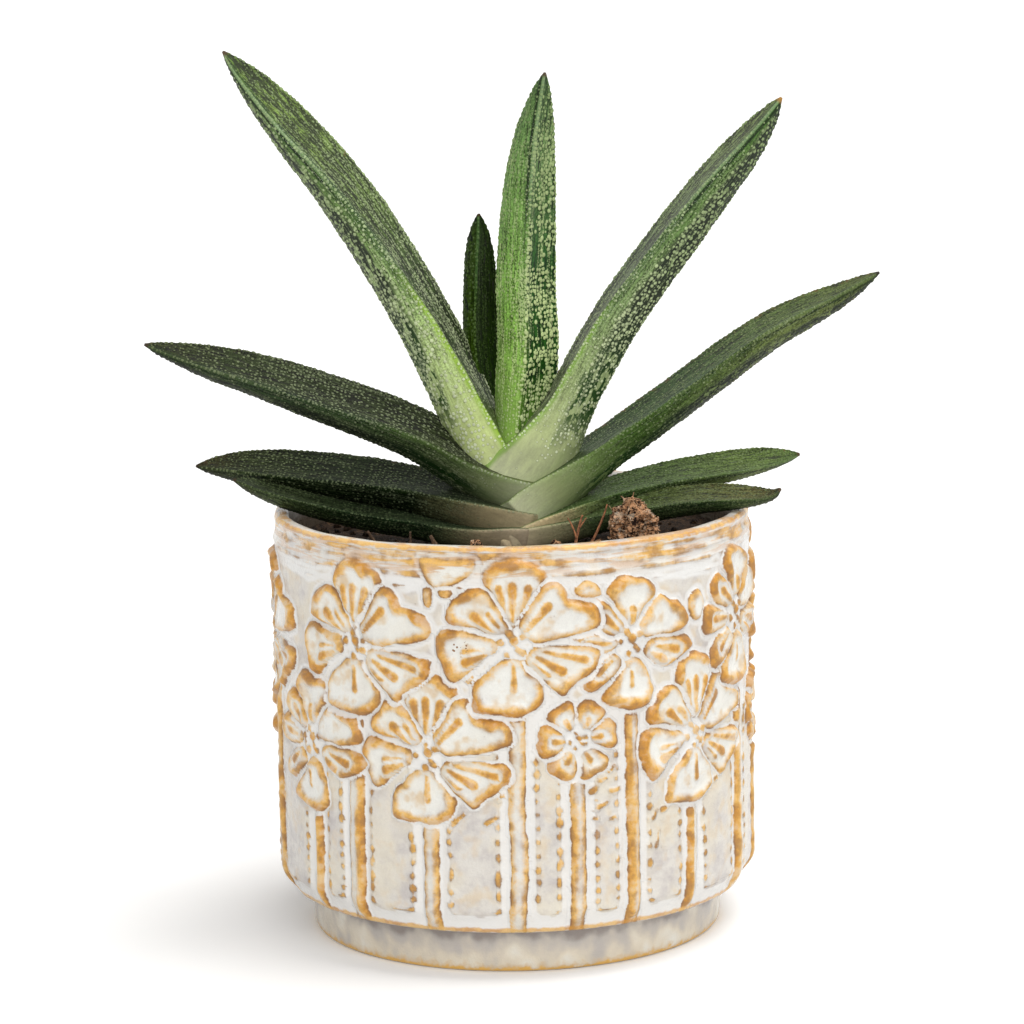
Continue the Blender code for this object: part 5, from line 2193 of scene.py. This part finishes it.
            front=((0.0, 218, 200, 170), (0.16, 200, 184, 148), (0.25, 120, 122, 88), (0.33, 36, 54, 30),
                (0.6, 30, 48, 26), (0.85, 56, 70, 36), (1.0, 66, 70, 40)),
            inner=((0.0, 110, 116, 84), (0.2, 50, 64, 42), (0.6, 48, 62, 38), (1.0, 60, 70, 42)),
            dots=((0.0, 170, 174, 140), (0.3, 150, 168, 124), (1.0, 144, 160, 112)),
            glow=0.0, groove=0.4, sparkle=0.25, brown=0.25, tone=0.66, shine=0.06, contrast=2.0, glint=0.5,
            ridge_highlight_colour=srgb(76, 94, 56), ridge_highlight=0.3,
        ),
        foot=((17.0, 0, 113.5), (5, 0, 117)), layer=-16.5,
        dots=DotPlan(
            inner=Dots(0.34, 0.8, 0.5), front=Dots(0.32, 0.6, 0.45), strip=Dots(0.34, 0.7, 0.45),
            margin=Dots(0.42, 0.9, 0.5), gap=1.35,
        ),
    ),
    Leaf(
        "leaf_10", ((0, 0, 116.5), (20, -4, 120), (37, -9, 124), (56, -13.5, 127.6), (74, -18, 129.2),
            (78.5, -19, 131.5)),
        8.2, 10, 10, 13, 30, (0.1, 0.3, 0.5),
        LeafSkin(
            front=((0.0, 214, 198, 166), (0.2, 176, 170, 132), (0.32, 66, 84, 48), (0.6, 44, 62, 34),
                (0.85, 50, 66, 34), (1.0, 52, 54, 34)),
            inner=((0.0, 118, 124, 86), (0.2, 60, 76, 40), (0.6, 70, 80, 42), (0.85, 82, 82, 46),
                (1.0, 62, 58, 36)),
            dots=((0.0, 170, 176, 140), (0.3, 124, 140, 98), (1.0, 112, 122, 80)),
            glow=0.0, groove=0.5, sparkle=0.3, brown=0.5, tone=0.99, shine=0.08, contrast=1.8, glint=0.4,
            ridge_highlight_colour=srgb(88, 106, 62), ridge_highlight=0.3,
        ),
        upper_side=-1, foot=((-14.0, 0, 110.0), (0, 0, 115.5)), layer=-16.0,
        dots=DotPlan(
            inner=Dots(0.34, 0.8, 0.6), front=Dots(0.32, 0.6, 0.5), strip=Dots(0.34, 0.7, 0.5),
            margin=Dots(0.42, 0.9, 0.4), gap=1.3,
        ),
    ),
)


# Peat and straw


@dataclass(frozen=True)
class PeatLump:
    """A lump of peat, knobbly all over, with strands standing out of it.

    Its box is the node's own. Detail is how often its ball is divided.
    """

    node: str
    detail: int
    knobs: float
    seed: int
    strands: int = 0

    def build(self, material: Material) -> None:
        """Model and dress the lump.

        Args:
            material: Its material.
        """
        low, high = (np.array(corner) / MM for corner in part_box(self.node))
        lump = add_primitive(
            self.node + "_lump", bpy.ops.mesh.primitive_ico_sphere_add, subdivisions=self.detail, radius=MM
        )
        unit = places_of(lump.data.vertices)
        noise = SmoothNoise(self.seed)
        size = float((high - low).mean())
        wave = 0.4 * noise.at(*(unit * 1.9 + 5).T) + 0.34 * noise.at(*(unit * 4.1 + 9).T)
        wave = wave - 0.3 * np.abs(noise.at(*(unit * 7.5 + 3).T))
        wave = wave - 0.2 * np.abs(noise.at(*(unit * 14 + 1).T)) + 0.16
        body = unit * (0.88 + self.knobs * wave)[:, None]
        upper = np.clip(body[:, 2], 0, 1)
        body[:, :2] *= (1.1 - 0.24 * upper)[:, None]
        body[:, 2] = np.where(body[:, 2] > 0, body[:, 2] * (1 - 0.4 * np.clip(body[:, 0], 0, 1)), body[:, 2])
        body[:, 0] -= 0.1 * upper
        places = body * (high - low) / 2 + (low + high) / 2
        move_corners(lump, np.clip(places, low - 0.02 * size, high + 0.02 * size))
        if self.strands:
            self.add_strands(lump, (low + high) / 2)
        finish_piece(lump, material, "peat", self.node)

    def add_strands(self, lump: Object, middle: Array) -> None:
        """Stand short strands on the lump.

        Args:
            lump: The lump.
            middle: Its middle.
        """
        rng = np.random.default_rng(self.seed + 1)
        skin = places_of(lump.data.vertices)
        pieces = []
        for index in range(self.strands):
            foot = skin[rng.integers(len(skin))]
            way = foot - middle
            way /= norm(way)
            aside = rng.normal(size=3)
            aside -= way * (aside @ way)
            aside /= norm(aside)
            standing = index % 9 == 0
            reach = rng.uniform(1.0, 1.9) if standing else rng.uniform(0.5, 1.3)
            lean = way * (0.8 if standing else 0.16) + aside * (0.5 if standing else 1.0)
            girth = rng.uniform(0.09, 0.16) if standing else rng.uniform(0.22, 0.46)
            ends = (foot - way * 0.2, foot + lean * reach)
            strand = bent_stick(f"strand_{index}", *ends, girth, 5, way * 0.25)
            store(strand, "loose", np.full((len(strand.data.vertices), 3), rng.uniform(0.0, 1.0) ** 2))
            pieces.append(strand)
        choose(lump, *pieces)
        bpy.ops.object.join()


def bent_stick(name: str, foot: Array, tip: Array, radius: float, around: int, bend: Array) -> Object:
    """A tapering stick with a bend in it. Sizes in mm.

    Args:
        name: Its name.
        foot: Its lower end.
        tip: Its upper end.
        radius: Its radius at the foot.
        around: How many sides it has.
        bend: How far its middle is off the straight line.

    Returns:
        The stick.
    """
    stick = add_tube(name, around, (11,), 1.0, 0.0, 10.0, "TRIFAN")
    places = places_of(stick.data.vertices)
    foot, axis = np.array(foot, float), np.array(tip, float) - foot
    length = norm(axis)
    axis /= length
    side = np.cross(axis, (0.3, 1.0, 0.2))
    side /= norm(side)
    other = np.cross(axis, side)
    along = places[:, 2] / 10.0
    noise = SmoothNoise(41)
    girth = radius * (1 - 0.5 * along**1.5)
    girth *= 1 + 0.25 * noise.at(along * 9 + radius * 50, np.arctan2(places[:, 1], places[:, 0]) * 1.3)
    centre = foot + along[:, None] * length * axis
    centre += np.outer(4 * along * (1 - along), bend)
    moved = centre + (places[:, :1] * side + places[:, 1:2] * other) * girth[:, None]
    store(stick, "skin", np.stack([along * length, places[:, 0] * radius, places[:, 1] * radius], 1))
    move_corners(stick, moved)
    return stick


@dataclass(frozen=True)
class Stick:
    """A stalk, twig or splinter. Its ends, bend and radius are in mm."""

    node: str
    foot: Triple
    tip: Triple
    radius: float
    bend: Triple = (0.0, 0.0, 0.0)
    twigs: tuple[tuple[Triple, Triple, float], ...] = ()

    TWIG_BEND = (0.2, 0, 0.3)

    def build(self, material: Material) -> None:
        """Model and dress the stick.

        Args:
            material: Its material.
        """
        stick = bent_stick(self.node + "_straw", self.foot, self.tip, self.radius, 10, self.bend)
        side = [
            bent_stick(f"{self.node}_{index}", foot, tip, radius, 8, self.TWIG_BEND)
            for index, (foot, tip, radius) in enumerate(self.twigs)
        ]
        if side:
            choose(stick, *side)
            bpy.ops.object.join()
        finish_piece(stick, material, "straw", self.node)


@dataclass
class Litter:
    """The peat clump beside the plant, its crumbs, and the straw that stands in the soil."""

    peat: Earth = Earth(
        "dry_peat", srgb(34, 18, 11), srgb(226, 172, 128), srgb(255, 238, 212), fibres=0.9, scale=0.8
    )
    straw: Straw = Straw("dry_straw", srgb(178, 118, 76), srgb(92, 52, 32))
    bark: Straw = Straw("dark_bark", srgb(104, 78, 54), srgb(52, 38, 28))
    lumps: tuple[PeatLump, ...] = (
        PeatLump("peat_clump", 6, 1.15, 51, 170),
        *(PeatLump(f"crumb_{index}", 4, 0.9, 51 + index) for index in range(1, 6)),
    )
    sticks: tuple[Stick, ...] = (
        Stick("stalk", (22.5, -23, 116), (28, -19.5, 128), 0.45, (0.5, 0, 0.2)),
        Stick(
            "twig", (18.5, -23, 116), (20.8, -20, 125), 0.5, (-0.3, 0, 0),
            (
                ((18.9, -22.4, 118.5), (16.4, -19.4, 124.2), 0.32),
                ((19.8, -21.3, 121.5), (21.9, -19.0, 124.0), 0.26),
            ),
        ),
        Stick("chip_1", (-22, -19, 116.2), (-23.5, -19.5, 119.6), 0.9),
        Stick("chip_2", (-29.5, -20, 116.2), (-29.3, -20.5, 121), 0.5),
        Stick("chip_3", (-38.5, -22, 116.2), (-41.5, -24, 122), 0.6),
    )

    def build(self) -> None:
        """Model and dress every piece."""
        peat, straw, bark = self.peat.material(), self.straw.material(), self.bark.material()
        for lump in self.lumps:
            lump.build(peat)
        for stick in self.sticks:
            stick.build(bark if stick.node.startswith("chip") else straw)


# The studio


@dataclass
class Lamp:
    """A broad, far lamp. It shines from its place towards its aim, and its spread is in degrees."""

    name: str
    place: Triple
    aim: Triple
    spread: float
    power: float
    colour: Colour = (1.0, 1.0, 1.0)

    def build(self) -> None:
        """Add the lamp."""
        data = bpy.data.lights.new(self.name, "SUN")
        data.angle = math.radians(self.spread)
        data.energy = self.power
        data.color = self.colour
        lamp = bpy.data.objects.new(self.name, data)
        lamp.location = self.place
        lamp.rotation_euler = (Vector(self.aim) - Vector(self.place)).to_track_quat("-Z", "Y").to_euler()
        bpy.context.scene.collection.objects.link(lamp)


@dataclass
class Studio:
    """A white floor, a white room, soft lamps and the camera. Sizes in metres."""

    floor_half: float = 12.0
    sky_light: float = 0.5
    pitch: float = 0.172
    roll: float = 0.017
    camera_place: Triple = (0.00033, -1.08, 0.3104)
    focal: float = 130.31
    lamps: tuple[Lamp, ...] = (
        Lamp("key_lamp", (0.47, 0.04, 1.4), (0.0, 0.0, 0.12), 38.0, 1.72, (1.0, 0.99, 0.97)),
        Lamp("front_lamp", (0.12, -1.3, 0.95), (0.0, 0.0, 0.12), 50.0, 1.15, (1.0, 0.997, 0.99)),
    )

    def build(self) -> None:
        """Build the studio."""
        self.build_floor()
        self.light_room()
        for lamp in self.lamps:
            lamp.build()
        self.set_camera()

    def build_floor(self) -> None:
        """Lay the floor."""
        floor = add_primitive("studio_floor", bpy.ops.mesh.primitive_plane_add, size=self.floor_half * 2)
        floor.data.materials.append(FloorPaint().material())
        floor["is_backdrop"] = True

    def light_room(self) -> None:
        """Light the room evenly, and show it white."""
        plan = NodePlan("white_room", "World")
        strength = plan.seen() * (1.0 - self.sky_light) + self.sky_light
        sockets = {"Color": (1.0, 1.0, 1.0, 1.0), "Strength": strength}
        bpy.context.scene.world = plan.close(plan.add("ShaderNodeBackground", None, sockets))
        bpy.context.scene.view_settings.view_transform = "Standard"

    def set_camera(self) -> None:
        """Place the camera."""
        data = bpy.data.cameras.new("camera")
        data.lens = self.focal
        data.sensor_width = 36.0
        data.clip_start, data.clip_end = 0.01, 50.0
        camera = bpy.data.objects.new("camera", data)
        turn = Matrix.Rotation(math.pi / 2 - self.pitch, 4, "X") @ Matrix.Rotation(-self.roll, 4, "Z")
        camera.matrix_world = Matrix.Translation(self.camera_place) @ turn
        bpy.context.scene.collection.objects.link(camera)
        bpy.context.scene.camera = camera


def corners(box: Any) -> list[list[float]]:
    """A box's two corners as plain lists."""
    return [list(corner) for corner in box]


def main() -> None:
    """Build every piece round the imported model."""
    logging.basicConfig(level=logging.INFO, format="%(name)s: %(message)s")
    Pot().build()
    SoilBed().build()
    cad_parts["crown_stem"].data.materials.clear()
    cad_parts["crown_stem"].data.materials.append(Crown().material())
    for leaf in LEAVES:
        leaf.build()
    Litter().build()
    Studio().build()
    {"cad": corners(CAD_BOX), "visual": corners(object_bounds())}


if __name__ == "__main__":
    main()
